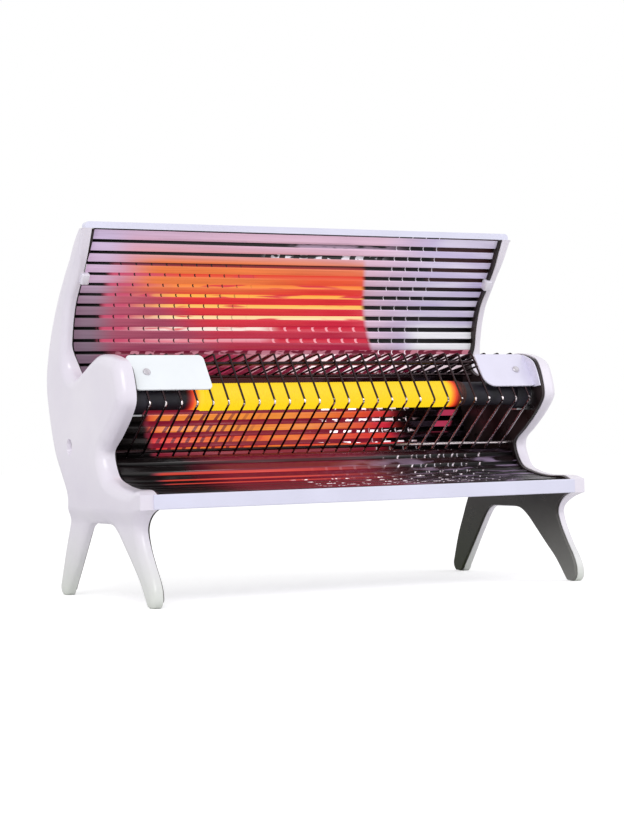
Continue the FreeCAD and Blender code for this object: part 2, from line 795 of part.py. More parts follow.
def guard_wires():
    """The bent upright wires, one each pitch, all in planes across the heater."""
    points = [at(*point) for point in (GUARD_FOOT, APEX, TOP_BEND, GUARD_REAR)]
    wire = bent_wire(points, size("wire_diameter"))
    count = int(size("wire_count"))
    wires = []
    for index in range(count):
        copy = wire.copy()
        copy.translate(Vector((index - (count - 1) / 2) * size("wire_pitch"), 0, 0))
        wires.append(copy)
    return Part.makeCompound(wires)


def slope_frame(start, end):
    """The unit directions along and out from a run of the guard, as (depth, height) pairs."""
    length = math.hypot(end[0] - start[0], end[1] - start[1])
    along = ((end[0] - start[0]) / length, (end[1] - start[1]) / length)
    return along, (-along[1], along[0])


def on_slope(start, end, travel, outward):
    """A point on a run of the guard: how far along it, and how far out from its middle line."""
    along, out = slope_frame(start, end)
    return start[0] + along[0] * travel + out[0] * outward, start[1] + along[1] * travel + out[1] * outward


def guard_rod(label, start, end, travel):
    """A cross rod that lies against the inside of the wires, so far along one of their straight runs."""
    out = slope_frame(start, end)[1]
    on_wire = on_slope(start, end, travel, 0.0)
    step = (size("wire_diameter") + size("guard_rod_diameter")) / 2
    piece = doc.addObject("Part::Cylinder", label)
    piece.Label = label
    piece.setExpression("Radius", "Sizes.guard_rod_diameter / 2")
    piece.setExpression("Height", "Sizes.panel_span - 2 * Sizes.lining_thickness")
    place = at(on_wire[0] - out[0] * step, on_wire[1] - out[1] * step, -LINING_FACE)
    piece.Placement = Placement(place, Rotation(Vector(0, 0, 1), Vector(1, 0, 0)))


feature("guard_wires", guard_wires())
guard_rod("guard_bottom_rod", GUARD_FOOT, APEX, size("bottom_rod_travel"))
guard_rod("guard_top_rod", APEX, TOP_BEND, size("top_rod_travel"))
guard_rod("guard_rear_rod", TOP_BEND, GUARD_REAR, size("rear_rod_travel"))


# ---------------------------------------------------------------------------
# Heating element, its caps, brackets and terminals
# ---------------------------------------------------------------------------
AXIS = (size("element_depth"), size("element_height"))
BRACKET_FACE = LINING_FACE - size("bracket_thickness")
ROD_HALF = BRACKET_FACE - size("cap_wall") - size("fit_clearance")


def along_axis(label, kind, place):
    """A round piece of the element, laid along the heater from a place to the side."""
    piece = doc.addObject(kind, label)
    piece.Label = label
    piece.Placement = Placement(at(*AXIS, place), Rotation(Vector(0, 0, 1), Vector(1, 0, 0)))
    return piece


rod = along_axis("ceramic_rod", "Part::Cylinder", -ROD_HALF)
rod.setExpression("Radius", "Sizes.rod_diameter / 2")
cap_stack = "Sizes.lining_thickness + Sizes.bracket_thickness + Sizes.cap_wall + Sizes.fit_clearance"
rod.setExpression("Height", "Sizes.panel_span - 2 * (%s)" % cap_stack)

coil_outer = along_axis("CoilOuter", "Part::Cylinder", -size("coil_length") / 2)
coil_outer.setExpression("Radius", "Sizes.coil_diameter / 2")
coil_outer.setExpression("Height", "Sizes.coil_length")
coil_bore = along_axis("CoilBore", "Part::Cylinder", -size("coil_length") / 2)
coil_bore.setExpression("Radius", "Sizes.rod_diameter / 2 + 0.1")
coil_bore.setExpression("Height", "Sizes.coil_length")
coil = doc.addObject("Part::Cut", "heating_coil")
coil.Label = "heating_coil"
coil.Base = coil_outer
coil.Tool = coil_bore


def end_cap(towards):
    """A cup over one end of the rod, with a hole for its terminal stud; towards is +1 at the right."""
    face = towards * BRACKET_FACE
    inward = Vector(-towards, 0, 0)
    cup = bar(size("cap_diameter"), size("cap_length"), at(*AXIS, face), inward)
    mouth = [edge for edge in cup.Edges if abs(edge.CenterOfMass.x - face) > 1 and edge.isClosed()
             and abs(edge.Vertexes[0].X - face) > 1]
    cup = cup.makeChamfer(size("cap_chamfer"), mouth)
    socket_start = at(*AXIS, face - towards * size("cap_wall"))
    socket = bar(size("rod_diameter") + 2 * size("fit_clearance"), size("cap_length"), socket_start, inward)
    return cup.cut([socket, small_hole(size("stud_diameter"), at(*AXIS, face), inward, size("cap_length"))])


def element_bracket(towards):
    """The eight-sided steel plate between a cap and the lining, with a bent foot under the cap."""
    width = size("bracket_width")
    thick = size("bracket_thickness")
    breadth = size("foot_breadth")
    side = BRACKET_FACE if towards > 0 else -LINING_FACE
    low = AXIS[1] - width / 2 - thick
    plate = prism(width, thick, at(*AXIS, side), Vector(1, 0, 0))
    shelf_length = size("cap_length") * 0.8
    shelf_side = BRACKET_FACE - shelf_length if towards > 0 else -BRACKET_FACE
    shelf = Part.makeBox(shelf_length, breadth, thick, at(AXIS[0] - breadth / 2, low, shelf_side))
    web = Part.makeBox(thick, breadth, width / 2, at(AXIS[0] - breadth / 2, low, side))
    hole = small_hole(size("stud_diameter"), at(*AXIS, side), Vector(1, 0, 0), 2 * thick)
    return plate.fuse([shelf, web]).cut(hole).removeSplitter()


feature("end_caps", Part.makeCompound([end_cap(-1), end_cap(1)]))
feature("element_brackets", Part.makeCompound([element_bracket(-1), element_bracket(1)]))

studs = []
nuts = []
for towards in (-1, 1):
    outward = Vector(towards, 0, 0)
    stud_start = at(*AXIS, towards * (ROD_HALF + size("fit_clearance") / 2))
    stud = prism(size("stud_diameter"), size("stud_length"), stud_start, outward)
    studs.append(stud)
    nut = prism(size("nut_width"), size("nut_thickness"), at(*AXIS, towards * HALF_SPAN), outward, 6)
    nuts.append(nut.cut(stud))
feature("terminal_studs", Part.makeCompound(studs))
feature("terminal_nuts", Part.makeCompound(nuts))


# ---------------------------------------------------------------------------
# Corner plates over the ends of the guard
# ---------------------------------------------------------------------------
SLOPE = slope_frame(APEX, TOP_BEND)[0]
SLOPE_TURN = Rotation(Vector(1, 0, 0), math.degrees(math.atan2(SLOPE[1], SLOPE[0])))
PLATE_END = LINING_FACE - size("fit_clearance")
WIRE_RADIUS = size("wire_diameter") / 2


def corner_plate(label, length, side, screw_side):
    """A bare plate on the guard's upper slope, with rounded corners and one screw hole."""
    body = doc.addObject("PartDesign::Body", label)
    body.Label = label
    outline = sketch_on(body, label + "Outline", "XY_Plane")
    rectangle(outline, "Sizes.%s" % length, "Sizes.plate_height")
    block = pad(body, outline, label + "Blank", "Sizes.plate_thickness")
    doc.recompute()
    corners = body.newObject("PartDesign::Fillet", label + "Corners")
    corners.Base = (block, upright_edges(block.Shape, Vector(0, 0, 1)))
    corners.setExpression("Radius", "Sizes.plate_corner")
    doc.recompute()
    drilled = sketch_on(body, label + "ScrewHole", "XY_Plane")
    across = abs(screw_side - side)
    centre = Vector(across, size("plate_height") / 2, 0)
    circle = drilled.addGeometry(Part.Circle(centre, Vector(0, 0, 1), 2.0), False)
    radius = drilled.addConstraint(Sketcher.Constraint("Radius", circle, 2.0))
    drilled.setExpression("Constraints[%d]" % radius, "(Sizes.plate_screw_diameter + Sizes.fit_clearance) / 2")
    hole = body.newObject("PartDesign::Pocket", label + "Hole")
    hole.Profile = drilled
    hole.setExpression("Length", "Sizes.plate_thickness * 2")
    hole.Reversed = True
    drilled.Visibility = False
    corner_at = on_slope(APEX, TOP_BEND, size("plate_rise"), WIRE_RADIUS)
    body.Placement = Placement(at(*corner_at, side), SLOPE_TURN)
    doc.recompute()
    return body


SCREW_SIDE = PLATE_END - size("plate_screw_inset")
corner_plate("left_corner_plate", "left_plate_length", -PLATE_END, -SCREW_SIDE)
corner_plate("right_corner_plate", "right_plate_length", PLATE_END - size("right_plate_length"), SCREW_SIDE)

clamps = []
plate_screws = []
middle = size("plate_rise") + size("plate_height") / 2
outward = SLOPE_TURN.multVec(Vector(0, 0, 1))
for towards in (-1, 1):
    under = -WIRE_RADIUS - size("plate_thickness")
    corner_at = on_slope(APEX, TOP_BEND, middle - size("clamp_width") / 2, under)
    near = min(towards * PLATE_END, towards * (PLATE_END - size("clamp_length")))
    clamp = Part.makeBox(size("clamp_length"), size("clamp_width"), size("plate_thickness"))
    clamp.Placement = Placement(at(*corner_at, near), SLOPE_TURN)
    on_plate = on_slope(APEX, TOP_BEND, middle, WIRE_RADIUS + size("plate_thickness"))
    seat = at(*on_plate, towards * SCREW_SIDE)
    reach = size("wire_diameter") + 3 * size("plate_thickness")
    screw = pan_screw(
        size("plate_screw_head"), size("plate_screw_head_height"), size("plate_screw_diameter"), reach,
        seat, outward * -1)
    clamps.append(clamp.cut(screw))
    plate_screws.append(screw)
feature("plate_clamps", Part.makeCompound(clamps))
feature("plate_screws", Part.makeCompound(plate_screws))


# ---------------------------------------------------------------------------
# Clips that hold the reflector to the front of each wing
# ---------------------------------------------------------------------------
def wing_clip():
    """The right clip: a tab over the front of the wing and a leg back to the reflector."""
    curve = Part.BSplineCurve()
    curve.interpolate([at(*point) for point in WING])
    level = Part.Plane(at(0, size("clip_height")), Vector(0, 0, 1))
    crossing = curve.intersect(level)[0][0]
    place = Vector(crossing.X, crossing.Y, crossing.Z)
    parameter = curve.parameter(place)
    up = curve.tangent(parameter)[0]
    turn = Rotation(Vector(1, 0, 0), math.degrees(math.atan2(up.z, up.y)))
    thick = size("sheet_thickness")
    width = size("clip_width")
    tab = Part.makeBox(size("clip_inner") + size("clip_reach"), width, thick, Vector(-size("clip_inner"), -width / 2, 0.1))
    leg_depth = size("reflector_setback") * up.z - 0.1
    leg = Part.makeBox(thick, width, leg_depth, Vector(-size("clip_inner"), -width / 2, -leg_depth + 0.1))
    clip = tab.fuse(leg).removeSplitter()
    clip.Placement = Placement(Vector(LINING_FACE, place.y, place.z), turn)
    return clip


feature("right_wing_clip", wing_clip())
feature("left_wing_clip", mirrored(doc.getObject("right_wing_clip").Shape))


# ---------------------------------------------------------------------------
# Tie bars and screws
# ---------------------------------------------------------------------------
for label, height in zip(("low_tie_bar", "middle_tie_bar", "high_tie_bar"), tie_heights()):
    piece = doc.addObject("Part::Cylinder", label)
    piece.Label = label
    piece.setExpression("Radius", "Sizes.tie_diameter / 2")
    piece.setExpression("Height", "Sizes.panel_span - 2 * Sizes.lining_thickness")
    piece.Placement = Placement(at(*tie_centre(height), -LINING_FACE), Rotation(Vector(0, 0, 1), Vector(1, 0, 0)))

tie_screws = []
for height in tie_heights():
    for towards in (-1, 1):
        seat = at(*tie_centre(height), towards * (HALF_SPAN - size("screw_head_height")))
        tie_screws.append(hex_screw(seat, Vector(-towards, 0, 0), size("lining_thickness") - size("screw_head_height")))
feature("tie_screws", Part.makeCompound(tie_screws))

cover_screws = []
for seat, inward in cover_screw_seats():
    cover_screws.append(hex_screw(seat, inward, size("sheet_thickness")))
feature("cover_screws", Part.makeCompound(cover_screws))

shell_screws = []
for towards in (-1, 1):
    seat = at(*SHELL_SCREW, towards * (OUTER_FACE - size("shell_recess_depth")))
    length = size("shell_thickness") - size("shell_recess_depth") + size("lining_thickness")
    shell_screws.append(pan_screw(
        size("shell_screw_head"), size("screw_head_height"), size("shell_screw_diameter"), length, seat,
        Vector(-towards, 0, 0)))
feature("shell_screws", Part.makeCompound(shell_screws))


# ---------------------------------------------------------------------------
# Wiring behind the reflector
# ---------------------------------------------------------------------------
def inside_cover(height, side):
    """A place on the inner face of the cover, and the direction inwards there."""
    place, inward = cover_point(height)
    direction = Vector(0, inward[0], inward[1])
    return at(*place, side) + direction * size("sheet_thickness"), direction


def cord_gland():
    """The bush in the back cover for the mains cord: a tapered collar, a neck and a nut inside."""
    inside, direction = inside_cover(size("gland_height"), size("gland_side"))
    seat = inside - direction * size("sheet_thickness")
    collar_end = seat - direction * size("gland_collar_length")
    rims = [
        ring_of_corners(size("gland_collar"), 16, seat, direction),
        ring_of_corners(size("gland_collar") * 0.8, 16, collar_end, direction),
    ]
    collar = Part.makeLoft(rims, True, True)
    neck_length = size("sheet_thickness") + 2 * size("gland_nut_thickness")
    neck = prism(size("gland_neck"), neck_length, seat, direction, 16)
    nut = prism(size("gland_nut_width"), size("gland_nut_thickness"), inside, direction, 6)
    bore_length = size("gland_collar_length") + neck_length
    bore = prism(size("gland_bore"), 2 * bore_length, seat - direction * bore_length, direction, 16)
    return collar.fuse([neck, nut]).cut(bore).removeSplitter()


def terminal_block():
    """A moulded block with three cable ways, fixed inside the back cover beside the gland."""
    inside, direction = inside_cover(size("gland_height"), size("block_side"))
    turn = Rotation(Vector(1, 0, 0), math.degrees(math.atan2(direction.z, direction.y)) - 90)
    length, depth = size("block_length"), size("block_depth")
    block = Part.makeBox(length, depth, size("block_height"), Vector(-length / 2, -depth / 2, 0))
    for index in range(3):
        start = Vector((index - 1) * length / 3, -depth, size("block_height") / 2)
        block = block.cut(prism(size("cable_way"), 2 * depth, start, Vector(0, 1, 0)))
    block.Placement = Placement(inside, turn)
    return block


def thermal_cutout():
    """The disc thermostat on the inside of the cover that opens the circuit if the heater overheats."""
    inside, direction = inside_cover(size("gland_height"), size("cutout_side"))
    return bar(size("cutout_diameter"), size("cutout_height"), inside, direction)


feature("cord_gland", cord_gland())
feature("terminal_block", terminal_block())
feature("thermal_cutout", thermal_cutout())

LEAD_HOLE = (size("lead_hole_depth"), size("lead_hole_height"))
grommets = []
for towards in (-1, 1):
    outward = Vector(towards, 0, 0)
    start = at(*LEAD_HOLE, towards * LINING_FACE)
    sleeve = prism(size("grommet_collar") - 2 * size("grommet_groove"), size("lining_thickness"), start, outward)
    rim = prism(size("grommet_collar"), size("grommet_rim"), at(*LEAD_HOLE, towards * HALF_SPAN), outward)
    bore = small_hole(size("lead_diameter") + size("fit_clearance"), start, outward, 2 * size("lining_thickness"))
    grommets.append(rim.fuse(sleeve).cut(bore).removeSplitter())
feature("lead_grommets", Part.makeCompound(grommets))


def stud_lead(towards, start_side):
    """A sleeved lead from behind the reflector out through the grommet and up beside a terminal stud."""
    run_side = towards * (HALF_SPAN + size("lead_run_out"))
    stud = (AXIS[0] + size("nut_width") / 2 + size("lead_diameter"), AXIS[1])
    bend = (LEAD_HOLE[0] - size("lead_bend_forward"), LEAD_HOLE[1] + size("lead_bend_up"))
    points = [at(*LEAD_HOLE, start_side), at(*LEAD_HOLE, run_side), at(*bend, run_side), at(*stud, run_side)]
    return bent_wire(points, size("lead_diameter"))


feature("live_lead", stud_lead(1, size("block_side") + size("block_length")))
feature("neutral_lead", stud_lead(-1, size("cutout_side") - size("cutout_diameter")))

doc.recompute()

# ---------------------------------------------------------------------------
# Check and export
# ---------------------------------------------------------------------------
NODES = [
    "left_side_shell", "right_side_shell", "left_inner_lining", "right_inner_lining",
    "reflector", "back_cover", "base_pan", "front_lip", "top_rail",
    "guard_wires", "guard_bottom_rod", "guard_top_rod", "guard_rear_rod",
    "ceramic_rod", "heating_coil", "end_caps", "element_brackets", "terminal_studs", "terminal_nuts",
    "left_corner_plate", "right_corner_plate", "plate_clamps", "plate_screws",
    "left_wing_clip", "right_wing_clip",
    "low_tie_bar", "middle_tie_bar", "high_tie_bar", "tie_screws", "cover_screws", "shell_screws",
    "cord_gland", "terminal_block", "thermal_cutout", "lead_grommets", "live_lead", "neutral_lead",
]

for item in doc.Objects:
    if "Invalid" in item.State or "Error" in item.State:
        raise RuntimeError("%s failed: %s" % (item.Label, item.State))
os.makedirs("parts", exist_ok=True)
for node in NODES:
    piece = doc.getObjectsByLabel(node)[0]
    if piece.Shape.isNull() or not piece.Shape.isValid():
        raise RuntimeError("%s has no valid shape" % node)
    piece.Shape.exportStep("parts/%s.step" % node)
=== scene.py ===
"""Looks of a free-standing electric bar heater, built round its packed construction."""
import math

import bmesh
import bpy
from bpy.props import FloatProperty, FloatVectorProperty, IntProperty, PointerProperty
from mathutils import Matrix, Vector


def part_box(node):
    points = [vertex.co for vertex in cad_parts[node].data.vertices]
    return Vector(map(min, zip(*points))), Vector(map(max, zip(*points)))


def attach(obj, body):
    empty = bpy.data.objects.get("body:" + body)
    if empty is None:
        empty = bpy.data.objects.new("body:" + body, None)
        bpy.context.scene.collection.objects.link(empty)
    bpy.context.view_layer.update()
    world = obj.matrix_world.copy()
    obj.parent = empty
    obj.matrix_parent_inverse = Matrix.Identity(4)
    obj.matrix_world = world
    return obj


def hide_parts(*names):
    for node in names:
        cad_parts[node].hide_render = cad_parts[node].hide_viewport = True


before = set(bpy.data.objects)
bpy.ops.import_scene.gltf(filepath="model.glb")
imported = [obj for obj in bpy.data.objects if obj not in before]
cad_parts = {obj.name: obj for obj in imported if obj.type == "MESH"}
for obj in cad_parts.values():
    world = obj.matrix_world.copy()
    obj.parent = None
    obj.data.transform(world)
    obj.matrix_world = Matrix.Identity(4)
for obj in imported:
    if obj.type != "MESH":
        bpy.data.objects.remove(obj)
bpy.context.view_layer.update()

bl_info = {
    "name": "Electric bar heater",
    "version": (1, 0, 0),
    "blender": (4, 5, 0),
    "location": "View3D > Sidebar > Heater",
    "description": "Dresses the construction of a bar heater with its finished mouldings, mirror and guard",
    "category": "Object",
}

BODY = "root"
MM = 0.001

# Places in millimetres: a depth is measured back from the lip's face, a height up from the floor.
LIP_WALL = 1.2
LIP_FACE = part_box("front_lip")[0].y / MM + LIP_WALL
LINING_FACE = -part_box("left_inner_lining")[1].x / MM
SHELL_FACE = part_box("right_side_shell")[0].x / MM
SHELL_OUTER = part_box("right_side_shell")[1].x / MM
TIP_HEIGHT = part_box("right_side_shell")[1].z / MM
APEX = (44.0, 175.0)
TOP_BEND = (75.0, 220.0)
GUARD_FOOT = (101.0, 128.5)
GUARD_REAR = (176.0, 203.0)
ELEMENT = (73.0, 181.0)
SHELL_SCREW = (160.0, 140.0)

# The side outline, in order round the loop: smooth runs of (depth, height) that meet in corners.
FRONT_RUN = [
    (0, 97), (8.1, 100.3), (36, 101), (62.1, 105), (80.1, 111.4), (90, 127), (90, 133.7), (72, 146.5),
    (54, 160.5), (42, 173), (39.5, 178.5), (41.1, 191.1), (50.2, 210.8), (62, 216.5), (93, 220.5),
    (112, 215.6), (134, 207), (153, 201.5), (168, 209.6), (172, 224), (169, 246.4), (160.3, 269.9),
    (146.5, 288.4), (130.2, 310.8), (117, 336),
]
BACK_RUN = [
    (125, 336), (139.6, 327.4), (158, 311.5), (187.1, 278.4), (208.4, 243.8), (220.1, 212.6), (221.85, 192),
    (215, 162.2), (202, 129.8), (187, 109.6), (174, 89), (183.8, 66.3), (197.9, 38.3), (208.2, 9.7),
]
REAR_FOOT = (199.0, (-10, 40, 90, 130, 160))
REAR_LEG_RUN = [(190.4, 5.2), (174.9, 24.3), (160, 43.5), (146.8, 60), (140.5, 65.8), (133, 69)]
FRONT_LEG_RUN = [(93, 69), (82, 67.2), (70.2, 60.6), (57.5, 49.8), (39.7, 34.2), (24.4, 21), (8.8, 3.1)]
FRONT_FOOT = (1.25, (35, 60, 90, 135, 180))
ANKLE_RUN = [
    (-8, 8.3), (-7.1, 15.2), (-3, 23.9), (6.8, 37.7), (16.9, 53.9), (21, 66), (18.1, 73), (10.1, 80), (0, 84),
]
# The outline's corners, each with how fast the edge radius may grow away from it.
CORNERS = ((FRONT_RUN[0], 0.4), (FRONT_RUN[-1], 0.25), (BACK_RUN[0], 0.25), (ANKLE_RUN[-1], 0.4))
FOOT_RADIUS = 9.25
SOLE_FLAT = 8.0
# Heights over which a side thins to its legs and its wing flares out, and the rows cut there for the bends.
LEG_BEVEL = (68.0, 84.0)
LEG_CUTS = range(68, 86, 2)
FLARE_RISE = (208, 234)
FLARE_CUTS = range(212, 242, 4)
LINING_INSET = 0.8
# How much further in the left lining sits than the right one.
LEFT_LINING_TUCK = 4.0
# The fixing screw's oval well: its depth, its radius, its drop, and how far it widens in twice its depth.
WELL_DEPTH, WELL_RADIUS, WELL_DROP, WELL_WIDENING = 5.0, 4.5, 2.0, 1.7
# The corner plates: where they start up the guard's slope, their size, and where the right one ends.
PLATE_RISE, PLATE_TALL, PLATE_THICK = 14.0, 38.0, 1.5
PLATE_END = LINING_FACE - 0.5
PLATE_SCREW_SIDE = 195.7
FLANGE_THICK = 1.2
# The share of the way back from the nose's outline at which the right plate's flange ends.
FLANGE_INSET = 0.12
ROLL_STEPS = 8
ROLL_MARGIN = 0.5

# The mirror's front face, from its top edge down into the bowl and out over the tray.
MIRROR_RUN = [
    (119, 338), (134.7, 310.8), (151, 288.4), (164.8, 269.9), (173.5, 246.4), (176.5, 224), (182, 198.2),
    (185, 181), (184, 160.4), (177, 140.9), (161, 125), (135, 121), (119.8, 124.1), (98, 126.5),
    (81.6, 109.9), (63.6, 103.5), (37.5, 99.5), (10, 98),
]

SHEET_THICKNESS = 0.8
# How far down the mirror its top edge lies in the rail's shade.
EDGE_SHADE = 3.3
# The grooves between the bowl's rows, counted from the mirror's top edge, and their width.
BOWL_GROOVES = range(14, 20)
BOWL_GROOVE = 5.4
# The grooves' widths at the mirror's left and right end, as shares of their size.
GROOVE_SHARES = (0.85, 1.3)

# The open ends of a window, in metres: left of the heater, at the floor, and past its right or its top.
FROM_LEFT = (-0.5, -0.4)
FROM_FLOOR = (0.0, 0.01)
TO_END = (0.5, 0.6)

# The camera: its place in millimetres, its yaw, pitch and roll in degrees, and its focal length.
CAMERA_PLACE = (-922.8, -1702.2, 148.6)
CAMERA_TURNS = (28.31, -0.41, -1.29)
CAMERA_LENS = 88.3


def linear(code):
    """A linear colour from an sRGB hex value such as #E9E4EF."""
    channels = []
    for start in (1, 3, 5):
        value = int(code[start:start + 2], 16) / 255
        channels.append(value / 12.92 if value <= 0.04045 else ((value + 0.055) / 1.055) ** 2.4)
    return channels


def colour(code, label, note):
    """A colour property with a hex default."""
    return FloatVectorProperty(
        name=label, description=note, subtype="COLOR", size=3, min=0, max=1, default=linear(code))


def length(value, label, note):
    """A length property in millimetres."""
    return FloatProperty(name=label, description=note, default=value, min=0.0, subtype="DISTANCE_CAMERA")


class HeaterSizes(bpy.types.PropertyGroup):
    """Sizes of the finished surfaces, in millimetres."""
    edge_rounding: length(10.0, "Edge rounding", "Radius of the mouldings' outer edge")
    wing_flare: length(6.5, "Wing flare", "How much wider the wing opens on each side than the seat")
    leg_thickness: length(10.0, "Leg thickness", "How far the legs stand out from the lining")
    wire_diameter: length(2.0, "Wire diameter", "Diameter of the guard wires")
    wire_pitch: length(15.4, "Wire pitch", "Distance between guard wires")
    wire_count: IntProperty(name="Wires", description="Number of guard wires", default=27, min=2)
    wire_bend: length(2.6, "Wire bend", "Radius of the bends in a guard wire")
    rib_first: length(14.2, "First rib", "Distance from the mirror's top edge to its first groove")
    rib_pitch: length(11.4, "Rib pitch", "Distance between the mirror's grooves")
    rib_groove: length(3.6, "Rib groove", "Width of a groove in the mirror")
    rib_depth: length(1.8, "Rib depth", "Depth of a groove in the mirror")
    winding_pitch: length(2.4, "Winding pitch", "Distance between turns of the resistance wire")


class HeaterColours(bpy.types.PropertyGroup):
    """Colours of the finishes."""
    moulding: colour("#ECE7F1", "Moulding", "White ABS of the sides")
    lining: colour("#1E1819", "Lining", "Dark moulded lining")
    mirror: colour("#DDD5EA", "Mirror", "Bright stainless steel")
    groove: colour("#0D090B", "Groove", "Shade in the mirror's grooves")
    enamel: colour("#E2E2F6", "Enamel", "Lip trim and rail")
    plate: colour("#F1F6FA", "Plate", "Enamelled corner plates")
    # painted dark reflection: the bright plated wire is given the dark of the inside that it mirrors
    wire: colour("#3A2E31", "Wire", "Plated guard wire")
    glow: colour("#FFD91A", "Glow", "Glowing resistance wire")


def sizes():
    return bpy.context.scene.heater_sizes


def colours():
    return bpy.context.scene.heater_colours


# ---------------------------------------------------------------------------
# Shapes
# ---------------------------------------------------------------------------
def at(depth, height, side=0.0):
    """A point in metres from millimetres of depth, height and side."""
    return Vector((side * MM, (LIP_FACE + depth) * MM, height * MM))


def smooth_run(points, spacing=2.5):
    """Points along the centripetal Catmull-Rom curve through a run, about evenly spaced."""
    ends = [tuple(2 * a - b for a, b in zip(points[0], points[1]))]
    tails = [tuple(2 * a - b for a, b in zip(points[-1], points[-2]))]
    path = [Vector(point) for point in ends + list(points) + tails]
    result = []
    for p0, p1, p2, p3 in zip(path, path[1:], path[2:], path[3:]):
        knots = [0.0]
        for a, b in ((p0, p1), (p1, p2), (p2, p3)):
            knots.append(knots[-1] + max((b - a).length, 1e-6) ** 0.5)
        steps = max(1, round((p2 - p1).length / spacing))
        for step in range(steps):
            t = knots[1] + (knots[2] - knots[1]) * step / steps
            a1 = p0.lerp(p1, (t - knots[0]) / (knots[1] - knots[0]))
            a2 = p1.lerp(p2, (t - knots[1]) / (knots[2] - knots[1]))
            a3 = p2.lerp(p3, (t - knots[2]) / (knots[3] - knots[2]))
            b1 = a1.lerp(a2, (t - knots[0]) / (knots[2] - knots[0]))
            b2 = a2.lerp(a3, (t - knots[1]) / (knots[3] - knots[1]))
            result.append(tuple(b1.lerp(b2, (t - knots[1]) / (knots[2] - knots[1]))))
    return result + [tuple(points[-1])]


def foot_run(centre, angles):
    """Points round the end of a foot, a circle sunk until its sole is wide enough."""
    centre_height = math.sqrt(FOOT_RADIUS ** 2 - (SOLE_FLAT / 2) ** 2)
    points = []
    for first, last in zip(angles, angles[1:]):
        steps = max(1, round((last - first) / 12))
        for step in range(steps):
            turn = math.radians(first + (last - first) * step / steps)
            height = max(0.0, centre_height - FOOT_RADIUS * math.sin(turn))
            points.append((centre + FOOT_RADIUS * math.cos(turn), height))
    return points


def side_outline():
    """The whole side outline as a closed loop of (depth, height)."""
    loop = smooth_run(FRONT_RUN) + smooth_run(BACK_RUN)[:-1] + foot_run(*REAR_FOOT)
    loop += smooth_run(REAR_LEG_RUN) + smooth_run(FRONT_LEG_RUN)[:-1] + foot_run(*FRONT_FOOT)
    loop += smooth_run(ANKLE_RUN)
    return loop


def smoothstep(low, high, value):
    share = min(max((value - low) / (high - low), 0.0), 1.0)
    return share * share * (3 - 2 * share)


def shade(mesh, sharp):
    """Shades a mesh smooth, but for edges sharper than an angle in degrees."""
    mesh.shade_smooth()
    mesh.set_sharp_from_angle(angle=math.radians(sharp))


def finished(name, bm, materials, sharp=35.0):
    """A piece from a bmesh: named, linked, shaded smooth between sharp edges, and riding the body."""
    mesh = bpy.data.meshes.new(name)
    bm.to_mesh(mesh)
    bm.free()
    for material in materials:
        mesh.materials.append(material)
    shade(mesh, sharp)
    piece = bpy.data.objects.new(name, mesh)
    bpy.context.scene.collection.objects.link(piece)
    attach(piece, BODY)
    return piece


def new_only(geometry, kind):
    """The elements of one kind in an operator's result."""
    return [item for item in geometry if isinstance(item, kind)]


def boolean(piece, cutter, sharp):
    """Cuts one mesh object out of another, removes the cutter and shades the result."""
    modifier = piece.modifiers.new("cut", "BOOLEAN")
    modifier.operation = "DIFFERENCE"
    modifier.object = cutter
    modifier.solver = "EXACT"
    graph = bpy.context.evaluated_depsgraph_get()
    result = bpy.data.meshes.new_from_object(piece.evaluated_get(graph))
    piece.modifiers.clear()
    piece.data = result
    bpy.data.objects.remove(cutter)
    shade(result, sharp)


def cutting_tool(name, bm):
    """A mesh object to cut with, its faces outwards."""
    bmesh.ops.recalc_face_normals(bm, faces=bm.faces)
    mesh = bpy.data.meshes.new(name)
    bm.to_mesh(mesh)
    bm.free()
    cutter = bpy.data.objects.new(name, mesh)
    bpy.context.scene.collection.objects.link(cutter)
    return cutter


def facing(start, direction):
    """The transform to a start that turns Z into a direction."""
    return Matrix.Translation(start) @ direction.to_track_quat("Z", "X").to_matrix().to_4x4()


def swept_ring(bm, start, direction, radius, sides):
    """A ring of edges round a start, facing a direction."""
    made = bmesh.ops.create_circle(
        bm, cap_ends=True, segments=sides, radius=radius, matrix=facing(start, direction))
    return list({edge for vert in made["verts"] for edge in vert.link_edges})


def bent_rod(bm, points, radius, bend, sides=10, steps=5):
    """A rod along runs that lie in one plane across the heater, each corner turned on a bend radius."""
    runs = [(b - a).normalized() for a, b in zip(points, points[1:])]
    ring = swept_ring(bm, points[0], runs[0], radius, sides)
    place = points[0]
    for corner, before, after in zip(points[1:-1], runs, runs[1:]):
        turn = before.angle(after)
        axis = before.cross(after).normalized()
        reach = bend * math.tan(turn / 2)
        ring = extend_ring(bm, ring, corner - before * reach - place)
        centre = corner - before * reach + axis.cross(before) * bend
        made = bmesh.ops.spin(bm, geom=ring, cent=centre, axis=axis, angle=turn, steps=steps, use_merge=False)
        ring = new_only(made["geom_last"], bmesh.types.BMEdge)
        place = corner + after * reach
    ring = extend_ring(bm, ring, points[-1] - place)
    bmesh.ops.contextual_create(bm, geom=ring)


def extend_ring(bm, ring, move):
    """Extrudes a ring of edges and moves its copy; gives the new ring."""
    made = bmesh.ops.extrude_edge_only(bm, edges=ring)
    verts = new_only(made["geom"], bmesh.types.BMVert)
    bmesh.ops.translate(bm, verts=verts, vec=move)
    edges = new_only(made["geom"], bmesh.types.BMEdge)
    inside = set(verts)
    return [edge for edge in edges if edge.verts[0] in inside and edge.verts[1] in inside]


def turned(bm, profile, start, direction, steps):
    """Spins a profile of (radius, along) round an axis; along runs in the direction, lengths in metres."""
    place = facing(start, direction)
    verts = [bm.verts.new(place @ Vector((radius, 0, along))) for radius, along in profile]
    edges = [bm.edges.new(pair) for pair in zip(verts, verts[1:])]
    bmesh.ops.spin(
        bm, geom=verts + edges, cent=start, axis=direction, angle=math.tau, steps=steps, use_merge=True)
    bmesh.ops.remove_doubles(bm, verts=bm.verts, dist=1e-7)


